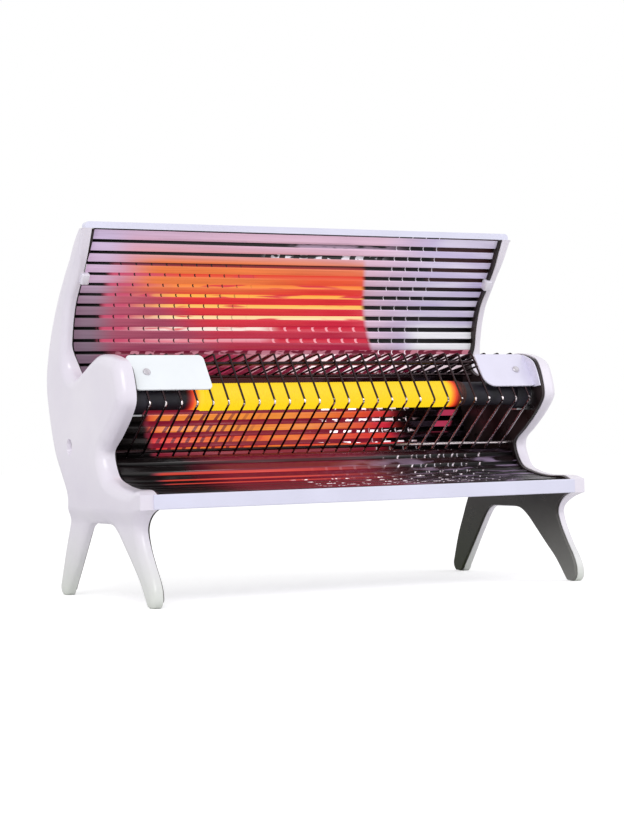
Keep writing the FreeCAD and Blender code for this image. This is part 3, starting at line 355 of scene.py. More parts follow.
# ---------------------------------------------------------------------------
# Materials
# ---------------------------------------------------------------------------
def rgba(tone):
    """The four channels of a hex value or of a colour property."""
    return (*(linear(tone) if isinstance(tone, str) else tone), 1)


def add(tree, kind, inputs=None, out=0, stops=(), **settings):
    """Adds a node with settings, inputs (values, or sockets to link) and ramp stops; gives one output."""
    node = tree.nodes.new(kind)
    for name, value in settings.items():
        setattr(node, name, value)
    for name, value in (inputs or {}).items():
        socket = node.inputs[name]
        if isinstance(value, bpy.types.NodeSocket):
            tree.links.new(value, socket)
        else:
            socket.default_value = rgba(value) if socket.type == "RGBA" else value
    for index, (position, tone) in enumerate(stops):
        elements = node.color_ramp.elements
        stop = elements[index] if index < 2 else elements.new(position)
        stop.position = position
        stop.color = rgba(tone)
    return node.outputs[out]


def new_finish(name, base, roughness, metallic=0.0, **more):
    """A new material; gives it with its tree, its shader's inputs and its object coordinates."""
    material = bpy.data.materials.new(name)
    material.use_nodes = True
    tree = material.node_tree
    inputs = tree.nodes["Principled BSDF"].inputs
    inputs["Base Color"].default_value = rgba(base)
    inputs["Roughness"].default_value = roughness
    inputs["Metallic"].default_value = metallic
    for key, value in more.items():
        inputs[key.replace("_", " ").title()].default_value = value
    return material, tree, inputs, add(tree, "ShaderNodeTexCoord", out="Object")


def per_mm(feature):
    """The texture scale on Object coordinates whose features are so many millimetres wide."""
    return 1.0 / (feature * MM)


def mottle(tree, coords, dark, light, feature, detail=3.0):
    """A colour that drifts between two tones over patches of a size in millimetres."""
    noise = add(tree, "ShaderNodeTexNoise", {"Vector": coords, "Scale": per_mm(feature), "Detail": detail})
    share = add(tree, "ShaderNodeMapRange", {"Value": noise, "From Min": 0.3, "From Max": 0.7})
    return add(tree, "ShaderNodeMix", {0: share, 6: dark, 7: light}, 2, data_type="RGBA")


def grain(tree, inputs, coords, feature, height, stretch=1.0):
    """A fine relief of a feature size and height in millimetres, drawn out along the heater by a stretch."""
    place = add(tree, "ShaderNodeMapping", {"Vector": coords, "Scale": (1 / stretch, 1, 1)})
    noise = add(tree, "ShaderNodeTexNoise", {"Vector": place, "Scale": per_mm(feature), "Detail": 2.0})
    bump = add(tree, "ShaderNodeBump", {"Height": noise, "Distance": height * MM, "Strength": 0.6})
    tree.links.new(bump, inputs["Normal"])


def window(tree, value, rise_from, rise_to, fall_from, fall_to):
    """One between two soft edges and nothing outside them."""
    rise = add(tree, "ShaderNodeMapRange", {"Value": value, "From Min": rise_from, "From Max": rise_to},
               interpolation_type="SMOOTHSTEP")
    fall = add(tree, "ShaderNodeMapRange", {"Value": value, "From Min": fall_to, "From Max": fall_from},
               interpolation_type="SMOOTHSTEP")
    return add(tree, "ShaderNodeMath", {0: rise, 1: fall}, operation="MULTIPLY")


def streaks(tree, coords, tall, long, low, high, seed=0.0):
    """Noise drawn out along the heater: cells so many millimetres tall and long, cut between two levels."""
    place = add(tree, "ShaderNodeMapping", {
        "Vector": coords, "Location": (seed, seed, seed), "Scale": (tall / long, 1, 1)})
    noise = add(tree, "ShaderNodeTexNoise", {"Vector": place, "Scale": per_mm(tall), "Detail": 1.5})
    return add(tree, "ShaderNodeMapRange", {"Value": noise, "From Min": low, "From Max": high})


def region(tree, side, height, across, up):
    """One inside a region of the heater, with soft edges across it and up it."""
    shares = {0: window(tree, side, *across), 1: window(tree, height, *up)}
    return add(tree, "ShaderNodeMath", shares, operation="MULTIPLY")


def mottled(name, base, roughness, tones, patch, peel, relief, metallic=0.0, **more):
    """A finish of two close tones in patches over a fine relief, with its sizes in millimetres."""
    material, tree, inputs, coords = new_finish(name, base, roughness, metallic, **more)
    tree.links.new(mottle(tree, coords, *tones, patch), inputs["Base Color"])
    grain(tree, inputs, coords, peel, relief)
    return material


def abs_white():
    """ABS, injection moulded: an even soft gloss with the faintest drift in tone, greener down the legs."""
    material, tree, inputs, coords = new_finish(
        "abs_white_moulded", colours().moulding, 0.3, coat_weight=0.25, coat_roughness=0.12)
    tone = mottle(tree, coords, "#E5DFEC", colours().moulding, 60)
    height = add(tree, "ShaderNodeSeparateXYZ", {0: coords}, 2)
    low = add(tree, "ShaderNodeMapRange", {"Value": height, "From Min": 0.07, "From Max": 0.0})
    tone = add(tree, "ShaderNodeMix", {0: low, 6: tone, 7: "#DDE1DA"}, 2, data_type="RGBA")
    tree.links.new(tone, inputs["Base Color"])
    # the moulded skin has an orange peel about a millimetre across
    grain(tree, inputs, coords, 1.2, 0.02)
    return material


def abs_dark():
    """ABS filled with carbon black, moulded: near black, with grey smears in its satin sheen."""
    material, tree, inputs, coords = new_finish("abs_charcoal_moulded", colours().lining, 0.3)
    inputs["Specular IOR Level"].default_value = 0.3
    tone = mottle(tree, coords, "#120E0F", "#3A3032", 30, 4.0)
    height = add(tree, "ShaderNodeSeparateXYZ", {0: coords}, 2)
    low = add(tree, "ShaderNodeMapRange", {"Value": height, "From Min": 0.075, "From Max": 0.0})
    depth = add(tree, "ShaderNodeSeparateXYZ", {0: coords}, 1)
    rear = add(tree, "ShaderNodeMapRange", {"Value": depth, "From Min": -0.04, "From Max": 0.04})
    foot = add(tree, "ShaderNodeMix", {0: rear, 6: "#7C7C78", 7: "#222A0C"}, 2, data_type="RGBA")
    leg = add(tree, "ShaderNodeMix", {0: low, 6: "#201917", 7: foot}, 2, data_type="RGBA")
    legs = add(tree, "ShaderNodeMapRange", {"Value": height, "From Min": 0.084, "From Max": 0.070})
    tone = add(tree, "ShaderNodeMix", {0: legs, 6: tone, 7: leg}, 2, data_type="RGBA")
    tree.links.new(tone, inputs["Base Color"])
    # the smears are as long as a thumb
    sheen = add(tree, "ShaderNodeTexNoise", {"Vector": coords, "Scale": per_mm(22), "Detail": 3.0})
    sheen = add(tree, "ShaderNodeMapRange", {"Value": sheen, "To Min": 0.16, "To Max": 0.46})
    tree.links.new(sheen, inputs["Roughness"])
    grain(tree, inputs, coords, 0.9, 0.02)
    return material


def lifted(tree, side, height):
    """The height, raised at the left end, where the wing's colours reach further down."""
    corner = window(tree, side, *FROM_LEFT, -0.172, -0.160)
    return add(tree, "ShaderNodeMath", {0: corner, 1: 0.024, 2: height}, operation="MULTIPLY_ADD")


def bar_light(tree, coords):
    """The side, the height, and the share of the bar's light on the mirror's wing."""
    side = add(tree, "ShaderNodeSeparateXYZ", {0: coords}, 0)
    height = add(tree, "ShaderNodeSeparateXYZ", {0: coords}, 2)
    # the light's right end leans with the wing's slope, and its top edge sinks to the right
    leaning = add(tree, "ShaderNodeMath", {0: height, 1: 0.35, 2: side}, operation="MULTIPLY_ADD")
    sinking = add(tree, "ShaderNodeMath", {0: side, 1: 0.09, 2: height}, operation="MULTIPLY_ADD")
    wing = window(tree, leaning, *FROM_LEFT, 0.177, 0.184)
    for share in (window(tree, lifted(tree, side, height), 0.2250, 0.2262, *TO_END),
                  window(tree, sinking, *FROM_FLOOR, 0.310, 0.332)):
        wing = add(tree, "ShaderNodeMath", {0: wing, 1: share}, operation="MULTIPLY")
    return side, height, wing


def wire_images(tree, side, height, lean, width):
    """The guard wires mirrored in the sheet: one where a wire shows, leaning with the height."""
    place = add(tree, "ShaderNodeMath", {0: height, 1: lean, 2: side}, operation="MULTIPLY_ADD")
    place = add(tree, "ShaderNodeMath", {0: place, 1: sizes().wire_pitch / 2 * MM}, operation="PINGPONG")
    return add(tree, "ShaderNodeMath", {0: place, 1: width / 2 * MM}, operation="LESS_THAN")


def wing_colours(tree, side, height):
    """The bar's light painted as a reflection in the wing, from crimson at its foot through red and orange to
    a pale pink.
    """
    up = add(tree, "ShaderNodeMapRange", {"Value": height, "From Min": 0.235, "From Max": 0.335})
    hot = add(tree, "ShaderNodeValToRGB", {"Fac": up}, stops=(
        (0.0, "#B02A48"), (0.20, "#D62C44"), (0.45, "#EA3A3A"), (0.60, "#F0603C"), (0.72, "#EE8A62"),
        (0.84, "#DDA2B0"), (1.0, "#CDB0D0")))
    cool = add(tree, "ShaderNodeValToRGB", {"Fac": up}, stops=(
        (0.0, "#9C4660"), (0.3, "#B04C66"), (0.50, "#C85C6C"), (0.62, "#DC90A4"), (1.0, "#CDB2D2")))
    cold = add(tree, "ShaderNodeValToRGB", {"Fac": up}, stops=(
        (0.0, "#7E6678"), (0.3, "#8C6C80"), (0.48, "#A88CA4"), (0.60, "#D2B0CE"), (1.0, "#CBB8DA")))
    # the redness starts further right low down
    slanted = add(tree, "ShaderNodeMath", {0: height, 1: 1.2, 2: side}, operation="MULTIPLY_ADD")
    cooler = add(tree, "ShaderNodeMapRange", {"Value": slanted, "From Min": 0.232, "From Max": 0.172},
                 interpolation_type="SMOOTHSTEP")
    red = add(tree, "ShaderNodeMix", {0: cooler, 6: hot, 7: cool}, 2, data_type="RGBA")
    colder = add(tree, "ShaderNodeMapRange", {"Value": side, "From Min": -0.172, "From Max": -0.205},
                 interpolation_type="SMOOTHSTEP")
    red = add(tree, "ShaderNodeMix", {0: colder, 6: red, 7: cold}, 2, data_type="RGBA")
    # a painted orange reflection of the bar lies high on the left
    patch = region(tree, side, height, (-0.185, -0.14, -0.07, 0.03), (0.276, 0.290, 0.306, 0.313))
    return add(tree, "ShaderNodeMix", {0: patch, 6: red, 7: "#F4824A"}, 2, data_type="RGBA")


def mirror_land():
    """Stainless steel, bright annealed and pressed: pale and softly streaked, with the bar's red light and
    the room and wires it mirrors painted on.
    """
    material, tree, inputs, coords = new_finish("stainless_bright_annealed", colours().mirror, 0.25, 0.25)
    side, height, wing = bar_light(tree, coords)
    bowl = region(tree, side, height, (-0.148, -0.138, 0.115, 0.145), (0.126, 0.129, 0.168, 0.172))
    # soft streaks in the steel itself; a painted pink reflection towards the bar's light; the white room
    # painted as a reflection low on the right of the wing
    patches = streaks(tree, coords, 16, 60, 0.35, 0.65, 7.7)
    beside = add(tree, "ShaderNodeMapRange", {"Value": side, "From Min": 0.155, "From Max": 0.085})
    pale = region(tree, side, height, (0.13, 0.16, 0.4, 0.5), (0.2, 0.21, 0.246, 0.256))
    steel = colours().mirror
    for share, tone in ((patches, "#C8BCDF"), (beside, "#D2AEC4"), (pale, "#FBFAFF")):
        steel = add(tree, "ShaderNodeMix", {0: share, 6: steel, 7: tone}, 2, data_type="RGBA")
    # the bowl's reflections of the guard and the linings are painted on, darker than the wing
    smears = streaks(tree, coords, 7, 26, 0.5, 0.62, 4.1)
    right = add(tree, "ShaderNodeMapRange", {"Value": side, "From Min": 0.0, "From Max": 0.16})
    smears = add(tree, "ShaderNodeMath", {0: smears, 1: right}, operation="MULTIPLY")
    flat = add(tree, "ShaderNodeMapRange", {
        "Value": height, "From Min": 0.124, "From Max": 0.116, "To Min": 0.12})
    smears = add(tree, "ShaderNodeMath", {0: smears, 1: flat}, operation="MULTIPLY")
    wire_reflections = wire_images(tree, side, height, -1.7, 8.0)
    high = window(tree, height, 0.2010, 0.2030, 0.222, 0.226)
    wine_side = window(tree, side, -0.15, -0.13, 0.13, 0.17)
    wine = add(tree, "ShaderNodeMath", {0: high, 1: wine_side}, operation="MULTIPLY")
    wire_reflections = add(tree, "ShaderNodeMath", {0: wire_reflections, 1: high}, operation="MULTIPLY")
    pinker = add(tree, "ShaderNodeMapRange", {"Value": side, "From Min": -0.05, "From Max": 0.05})
    wire_reflection_tone = add(tree, "ShaderNodeMix", {0: pinker, 6: "#8C2C48", 7: "#FBE6EE"}, 2, data_type="RGBA")
    ends = add(tree, "ShaderNodeMapRange", {"Value": side, "From Min": -0.138, "From Max": -0.150})
    # painted reflections in the bowl: near black on the right, a maroon band high up, the mirrored guard
    # wires, pale smears, and the dark linings at the left end
    dark = "#4C0E1E"
    for share, tone in ((right, "#1E1014"), (wine, "#84203E"), (wire_reflections, wire_reflection_tone), (smears, "#B9A2C4"),
                        (ends, "#1C1718")):
        dark = add(tree, "ShaderNodeMix", {0: share, 6: dark, 7: tone}, 2, data_type="RGBA")
    below = add(tree, "ShaderNodeMapRange", {
        "Value": lifted(tree, side, height), "From Min": 0.229, "From Max": 0.225})
    steel = add(tree, "ShaderNodeMix", {0: below, 6: steel, 7: dark}, 2, data_type="RGBA")
    red = wing_colours(tree, side, height)
    shaded = add(tree, "ShaderNodeMix", {0: 0.75, 6: red, 7: "#000000"}, 2, data_type="RGBA")
    base = add(tree, "ShaderNodeMix", {0: wing, 6: steel, 7: shaded}, 2, data_type="RGBA")
    tree.links.new(base, inputs["Base Color"])
    # in the bowl the bar's reflection is painted as orange strips, redder towards both ends
    middle = window(tree, side, -0.138, -0.09, 0.0, 0.12)
    flicker = streaks(tree, coords, 9, 30, 0.3, 0.7, 2.9)
    # the upper two strips are yellower, and the mirrored wires cut all of them on the left
    upper = region(tree, side, height, (-0.150, -0.125, 0.0, 0.12), (0.146, 0.148, *TO_END))
    upper = add(tree, "ShaderNodeMath", {0: upper, 1: 0.6}, operation="MULTIPLY")
    cuts = add(tree, "ShaderNodeMath", {
        0: wire_images(tree, side, height, -0.9, 3.8), 1: window(tree, side, *FROM_LEFT, -0.08, 0.0)},
        operation="MULTIPLY")
    cuts = add(tree, "ShaderNodeMath", {0: cuts, 1: 0.92}, operation="MULTIPLY")
    orange = "#D8243E"
    for share, tone in ((middle, "#F98A2C"), (flicker, "#EE4A2C"), (upper, "#FBA432"), (cuts, "#5E1022")):
        orange = add(tree, "ShaderNodeMix", {0: share, 6: orange, 7: tone}, 2, data_type="RGBA")
    # away from the bar's light the white room is painted on the wing as a reflection, and the mirrored wires
    # shine a little
    room = add(tree, "ShaderNodeMapRange", {"Value": below, "To Min": 0.38, "To Max": 0.0})
    # the bar's reflection is painted on the tray behind the lip as a deep wine red glow
    tray_reflection = region(tree, side, height, (-0.150, -0.10, 0.03, 0.09), (*FROM_FLOOR, 0.1262, 0.1275))
    for share, level in ((wire_reflections, 0.5), (wine, 0.3), (tray_reflection, 0.42)):
        room = add(tree, "ShaderNodeMath", {0: share, 1: level, 2: room}, operation="MULTIPLY_ADD")
    # the emission paints the reflections on: the bar's light on the wing, the orange strips in the bowl, and
    # the wine red over the tray
    glow = steel
    for share, tone in ((wing, red), (bowl, orange), (tray_reflection, "#8E1C36")):
        glow = add(tree, "ShaderNodeMix", {0: share, 6: glow, 7: tone}, 2, data_type="RGBA")
    fine = streaks(tree, coords, 1.6, 50, 0.3, 0.7, 6.3)
    fine = add(tree, "ShaderNodeMapRange", {"Value": fine, "To Min": 0.88, "To Max": 1.08})
    glow = add(tree, "ShaderNodeVectorMath", {0: glow, 3: fine}, operation="SCALE")
    strength = add(tree, "ShaderNodeMix", {0: wing, 2: room, 3: 0.78})
    # the bar's right end is mirrored as a pink patch
    leaning = add(tree, "ShaderNodeMath", {0: height, 1: -0.7, 2: side}, operation="MULTIPLY_ADD")
    patch = region(tree, leaning, height, (0.066, 0.071, 0.086, 0.092), (0.1425, 0.1465, 0.168, 0.172))
    glow = add(tree, "ShaderNodeMix", {0: patch, 6: glow, 7: "#D84468"}, 2, data_type="RGBA")
    for share, level in ((bowl, 0.85), (patch, 0.6)):
        strength = add(tree, "ShaderNodeMath", {0: share, 1: level, 2: strength}, operation="MULTIPLY_ADD")
    tree.links.new(glow, inputs["Emission Color"])
    tree.links.new(strength, inputs["Emission Strength"])
    grain(tree, inputs, coords, 5.0, 0.03, 10.0)
    return material


def mirror_groove():
    """The same steel down in the pressed grooves: shade, broken glints, and lines of the bar's light."""
    material, tree, inputs, coords = new_finish("stainless_groove_shade", colours().groove, 0.35, 0.2)
    side, height, wing = bar_light(tree, coords)
    # the bar's light painted as a reflection in the grooves over the tray
    tray = region(tree, side, height, (-0.185, -0.17, -0.06, 0.10), (0.101, 0.104, 0.112, 0.118))
    # pale ticks where the wires are mirrored, right of the light; pale dashes between them above and below it
    ticks = wire_images(tree, side, height, 0.06, 1.1)
    tick_side = window(tree, side, 0.095, 0.105, 0.15, 0.158)
    pale = add(tree, "ShaderNodeMath", {0: ticks, 1: tick_side}, operation="MULTIPLY")
    dashes = wire_images(tree, side, height, -0.4, 9.0)
    breaks = streaks(tree, coords, 5, 16, 0.44, 0.48, 1.3)
    dashes = add(tree, "ShaderNodeMath", {0: dashes, 1: breaks}, operation="MULTIPLY")
    above = region(tree, side, height, (-0.045, -0.02, 0.07, 0.10), (0.312, 0.314, 0.3195, 0.321))
    under = region(tree, side, height, (0.03, 0.05, 0.14, 0.165), (0.1275, 0.1285, 0.176, 0.18))
    # in the bowl they are thin lines along the grooves' middles
    from_middle = add(tree, "ShaderNodeMath", {0: height, 1: -0.181}, operation="ADD")
    from_middle = add(tree, "ShaderNodeMath", {0: from_middle, 1: 0.00565}, operation="PINGPONG")
    thin = add(tree, "ShaderNodeMath", {0: from_middle, 1: 0.0011}, operation="LESS_THAN")
    under = add(tree, "ShaderNodeMath", {0: under, 1: thin}, operation="MULTIPLY")
    # over the tray they are small specks under each wire, and dashes near the lip
    specks = add(tree, "ShaderNodeMath", {
        0: window(tree, side, 0.05, 0.08, 0.17, 0.18), 1: wire_images(tree, side, height, -0.4, 1.8)},
        operation="MULTIPLY")
    near_lip = region(tree, side, height, (-0.06, -0.03, 0.10, 0.13), (*FROM_FLOOR, 0.1032, 0.1042))
    marks = add(tree, "ShaderNodeMath", {0: near_lip, 1: dashes, 2: specks}, operation="MULTIPLY_ADD")
    tray_marks = add(tree, "ShaderNodeMath", {
        0: marks, 1: window(tree, height, *FROM_FLOOR, 0.1265, 0.1275)}, operation="MULTIPLY")
    flecks = streaks(tree, coords, 1.6, 2.5, 0.42, 0.58, 8.8)
    tray_marks = add(tree, "ShaderNodeMath", {0: tray_marks, 1: flecks}, operation="MULTIPLY", use_clamp=True)
    where = add(tree, "ShaderNodeMath", {0: above, 1: under}, operation="ADD")
    pale = add(tree, "ShaderNodeMath", {0: dashes, 1: where, 2: pale}, operation="MULTIPLY_ADD",
               use_clamp=True)
    pale = add(tree, "ShaderNodeMath", {0: tray_marks, 1: pale}, operation="MAXIMUM")
    # painted reflections in the grooves' shade: dark red of the bar's light low on the left, torn lilac
    # streaks high in the middle, brown high on the right, and the pale mirrored wires
    warm = region(tree, side, height, (-0.145, -0.12, 0.0, 0.08), (*FROM_FLOOR, 0.20, 0.22))
    lilac_reflection = region(tree, side, height, (-0.02, 0.0, 0.09, 0.12), (0.318, 0.320, 0.334, 0.336))
    torn = streaks(tree, coords, 3, 14, 0.40, 0.50, 9.4)
    lilac_reflection = add(tree, "ShaderNodeMath", {0: lilac_reflection, 1: torn}, operation="MULTIPLY")
    brown = region(tree, side, height, (0.145, 0.150, *TO_END), (0.286, 0.290, *TO_END))
    base = colours().groove
    for share, tone in ((warm, "#4A0E1C"), (lilac_reflection, "#A58CA2"), (brown, "#4A2A2C"), (pale, "#F4EEF8")):
        base = add(tree, "ShaderNodeMix", {0: share, 6: base, 7: tone}, 2, data_type="RGBA")
    tree.links.new(base, inputs["Base Color"])
    # the bar's lines run from red near the top to yellow and then a pinkish white low on the wing
    up = add(tree, "ShaderNodeMapRange", {"Value": height, "From Min": 0.235, "From Max": 0.305})
    line = add(tree, "ShaderNodeValToRGB", {"Fac": up}, stops=(
        (0.0, "#D8506A"), (0.08, "#F8C8D0"), (0.20, "#FFE8DC"), (0.34, "#FFDCA4"), (0.48, "#FFC264"),
        (0.64, "#FFB048"), (0.78, "#F8803A"), (0.9, "#E4402E"), (1.0, "#D8302E")))
    broken = streaks(tree, coords, 5, 40, 0.34, 0.44, 5.5)
    cooler = add(tree, "ShaderNodeMapRange", {"Value": side, "From Min": -0.12, "From Max": -0.17})
    # low on the wing the lines' right halves sink into red, dotted pink by the mirrored wires
    sunk = region(tree, side, height, (-0.03, 0.0, *TO_END), (*FROM_FLOOR, 0.250, 0.258))
    dots = wire_images(tree, side, height, 0.3, 2.6)
    dotted = add(tree, "ShaderNodeMix", {0: dots, 6: "#CE2A42", 7: "#F6A4B0"}, 2, data_type="RGBA")
    # the bar's light is painted crimson in the bowl's grooves between the rows, and more faintly above the
    # bar
    crimson_reflection = region(tree, side, height, (-0.148, -0.138, 0.09, 0.12), (0.1275, 0.1285, 0.184, 0.188))
    above_bar = region(tree, side, height, (-0.15, -0.13, 0.10, 0.15), (0.188, 0.19, 0.218, 0.222))
    crimson_reflection = add(tree, "ShaderNodeMath", {0: above_bar, 1: 0.4, 2: crimson_reflection}, operation="MULTIPLY_ADD")
    # the groove where the wing turns into the bowl is painted wine red, with pinkish dashes of the mirrored
    # wires
    turn = region(tree, side, height, (-0.19, -0.165, *TO_END), (0.2222, 0.2230, 0.2295, 0.2303))
    turn_tone = add(tree, "ShaderNodeMix", {0: dashes, 6: "#86203C", 7: "#E48FA4"}, 2, data_type="RGBA")
    hot = "#DE3A42"
    for share, tone in ((broken, line), (cooler, "#C8506E"), (sunk, dotted), (tray, "#E0402A"),
                        (crimson_reflection, "#8E1830"), (turn, turn_tone), (pale, "#FBE8F0")):
        hot = add(tree, "ShaderNodeMix", {0: share, 6: hot, 7: tone}, 2, data_type="RGBA")
    tree.links.new(hot, inputs["Emission Color"])
    # mirrored wires cut the upper lines on the left into dashes
    cuts = wire_images(tree, side, height, 0.1, 1.4)
    cuts = add(tree, "ShaderNodeMath", {
        0: cuts, 1: window(tree, side, *FROM_LEFT, -0.09, -0.03)}, operation="MULTIPLY")
    uncut = add(tree, "ShaderNodeMath", {0: 1.0, 1: cuts}, operation="SUBTRACT")
    lit = window(tree, height, 0.231, 0.235, 0.301, 0.309)
    started = window(tree, side, -0.198, -0.188, *TO_END)
    for share in (wing, uncut, started):
        lit = add(tree, "ShaderNodeMath", {0: lit, 1: share}, operation="MULTIPLY")
    shine = add(tree, "ShaderNodeMath", {0: pale, 1: under}, operation="MULTIPLY")
    for share, level in ((tray, 0.8), (crimson_reflection, 0.7), (shine, 0.75), (tray_marks, 0.3), (turn, 0.62)):
        lit = add(tree, "ShaderNodeMath", {0: share, 1: level, 2: lit}, operation="MULTIPLY_ADD")
    tree.links.new(lit, inputs["Emission Strength"])
    return material


def mill_back():
    """The mirror sheet's back, as it left the rolling mill: a dull grey drawn out along the sheet."""
    material, tree, inputs, coords = new_finish("stainless_mill_back", "#8F8E92", 0.42, 0.8)
    lines = streaks(tree, coords, 2, 60, 0.3, 0.7, 3.3)
    tone = add(tree, "ShaderNodeMix", {0: lines, 6: "#7E7D82", 7: "#9C9BA0"}, 2, data_type="RGBA")
    tree.links.new(tone, inputs["Base Color"])
    grain(tree, inputs, coords, 0.8, 0.01, 12.0)
    return material


def enamel(name, base):
    """Stove enamel on sheet steel: hard and glossy, with a faint ripple."""
    darker = [0.93 * channel for channel in base]
    return mottled(name, base, 0.22, (darker, base), 45, 0.8, 0.015, coat_weight=0.3, coat_roughness=0.08)


def powder_coat():
    """White polyester powder coat, stoved: a satin skin with a fine orange peel."""
    # the peel is half a millimetre across, drawn coarser so that it shows
    return mottled("powder_coat_white", "#E6E4EA", 0.45, ("#DCDAE2", "#E9E7EC"), 70, 0.9, 0.05)


def plated_wire():
    """Nickel-plated mild steel wire, drawn: painted dark with what it mirrors, with painted highlights at its
    bends and low right.
    """
    material, tree, inputs, coords = new_finish("nickel_plated_wire", colours().wire, 0.22, 1.0)
    height = add(tree, "ShaderNodeSeparateXYZ", {0: coords}, 2)
    # painted glints at the apex bend and at the foot, and a painted shine on the wires low right
    apex = window(tree, height, 0.1705, 0.1725, 0.1765, 0.1785)
    glints = streaks(tree, coords, 3, 4, 0.42, 0.55, 2.2)
    foot = window(tree, height, 0.1, 0.11, 0.1295, 0.1315)
    apex = add(tree, "ShaderNodeMath", {0: apex, 1: foot}, operation="MAXIMUM")
    glints = add(tree, "ShaderNodeMath", {0: apex, 1: glints}, operation="MULTIPLY")
    side = add(tree, "ShaderNodeSeparateXYZ", {0: coords}, 0)
    low_right = region(tree, side, height, (0.07, 0.12, *TO_END), (0.1, 0.11, 0.160, 0.172))
    shine = add(tree, "ShaderNodeMath", {0: low_right, 1: 0.8, 2: glints}, operation="MULTIPLY_ADD",
                use_clamp=True)
    base = add(tree, "ShaderNodeMix", {0: shine, 6: colours().wire, 7: "#FBF1F4"}, 2, data_type="RGBA")
    tree.links.new(base, inputs["Base Color"])
    scratches = streaks(tree, coords, 1.5, 1.5, 0.2, 0.8)
    rough = add(tree, "ShaderNodeMapRange", {"Value": scratches, "To Min": 0.14, "To Max": 0.34})
    tree.links.new(rough, inputs["Roughness"])
    return material


def bar_heat(tree, coords):
    """The bar's colour along its length: yellow, cooling through orange and red to nothing at both ends."""
    side = add(tree, "ShaderNodeSeparateXYZ", {0: coords}, 0)
    heat = window(tree, side, -0.158, -0.141, 0.118, 0.135)
    return add(tree, "ShaderNodeValToRGB", {"Fac": heat}, stops=(
        (0.0, "#000000"), (0.18, "#7E120A"), (0.45, "#E8401C"), (0.72, "#FF8A1E"), (1.0, colours().glow)))


def glowing_wire():
    """Resistance wire at yellow heat, cooling through orange and red at both ends of the winding."""
    material, tree, inputs, coords = new_finish("resistance_wire_glowing", "#3A1206", 0.6)
    tree.links.new(bar_heat(tree, coords), inputs["Emission Color"])
    # each turn burns a little differently
    speckle = streaks(tree, coords, 1.6, 1.6, 0.25, 0.75)
    tone = add(tree, "ShaderNodeMapRange", {"Value": speckle, "To Min": 0.9, "To Max": 1.06})
    tree.links.new(tone, inputs["Emission Strength"])
    return material


def steatite():
    """Steatite ceramic, fired, painted near black for the shade it lies in, and glowing a little beside the
    winding.
    """
    material, tree, inputs, coords = new_finish("steatite_painted_dark", "#1B1414", 0.55)
    # painted shade: the pale ceramic is given near-black tones
    tree.links.new(mottle(tree, coords, "#0D0B14", "#24212E", 12), inputs["Base Color"])
    tree.links.new(bar_heat(tree, coords), inputs["Emission Color"])
    inputs["Emission Strength"].default_value = 1.0
    grain(tree, inputs, coords, 0.8, 0.04)
    return material


def zinc_plate():
    """Bright zinc plating on steel: a cool grey with small spangles."""
    return mottled("zinc_plated_steel", "#B9BBBE", 0.35, ("#A6A8AC", "#C6C8CB"), 4, 1.5, 0.01, 1.0)


def nickel_screw():
    """Nickel-plated screws, turned and tumbled: a pale grey satin."""
    return mottled("nickel_plated_screw", "#CFCBD2", 0.4, ("#BEBAC2", "#D8D4DA"), 3, 0.5, 0.01, 0.6)


def nylon_black():
    """Black nylon, moulded matt."""
    return mottled("nylon_black_moulded", "#1A1A1C", 0.5, ("#131314", "#212125"), 10, 0.6, 0.03)


def glass_sleeve():
    """Braided glass-fibre sleeving, woven of threads about half a millimetre wide."""
    material, tree, inputs, coords = new_finish("glass_fibre_sleeve", "#D8D5CC", 0.75)
    weave = add(tree, "ShaderNodeTexWave", {"Vector": coords, "Scale": per_mm(1.2) / 6, "Distortion": 1.0},
                bands_direction="DIAGONAL")
    tone = add(tree, "ShaderNodeMix", {0: weave, 6: "#BFBBB0", 7: "#E2DFD6"}, 2, data_type="RGBA")
    tree.links.new(tone, inputs["Base Color"])
    bump = add(tree, "ShaderNodeBump", {"Height": weave, "Distance": 0.0001, "Strength": 0.7})
    tree.links.new(bump, inputs["Normal"])
    return material


def repaint(material, *nodes):
    """Gives CAD nodes a material."""
    for name in nodes:
        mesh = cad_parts[name].data
        mesh.materials.clear()
        mesh.materials.append(material)


# ---------------------------------------------------------------------------
# Pieces
# ---------------------------------------------------------------------------
def rounding_at(depth, height):
    """The edge radius at a point of the side outline: small at the wing's tip, at the lip and at the feet."""
    at_corners = min(growth * math.hypot(depth - a, height - b) for (a, b), growth in CORNERS)
    return min(sizes().edge_rounding, 0.8 + at_corners, 6.0 + 0.12 * height)


def flare(height):
    """How far the mirror's ends stand outwards at a height: the wing is wider than the seat."""
    return sizes().wing_flare * smoothstep(*FLARE_RISE, height)


def depth_on(run, height):
    """The depth of a run of the outline at a height."""
    for a, b in zip(run, run[1:]):
        if min(a[1], b[1]) <= height <= max(a[1], b[1]):
            return a[0] + (b[0] - a[0]) * (height - a[1]) / (b[1] - a[1])
    return run[-1][0]


def side_flare(depth, height):
    """How far a side's inner face stands outwards: as the mirror's end in front, not at all at the back."""
    height = min(height, TIP_HEIGHT - 6.0)
    back, front = depth_on(BACK_RUN, height), depth_on(FRONT_RUN[::-1], height)
    return flare(height) * smoothstep(0.0, 0.7, (back - depth) / (back - front))


def inside_point(loop, index, inward):
    """A point of a loop moved into it, square to its neighbours."""
    before, after = loop[index - 1], loop[(index + 1) % len(loop)]
    along = Vector((after[0] - before[0], after[1] - before[1])).normalized()
    return loop[index][0] + along.y * inward, loop[index][1] - along.x * inward


def outline_skin(bm, loop, side):
    """The outline as one skin of triangles at a side, each vertex knowing its place in the loop."""
    place = bm.verts.layers.int.new("place")
    verts = [bm.verts.new(at(depth, height, side)) for depth, height in loop]
    for index, vert in enumerate(verts):
        vert[place] = index
    ring = [bm.edges.new(pair) for pair in zip(verts, verts[1:] + verts[:1])]
    skin = bmesh.ops.triangle_fill(bm, edges=ring, use_beauty=True)["geom"]
    return place, new_only(skin, bmesh.types.BMFace)


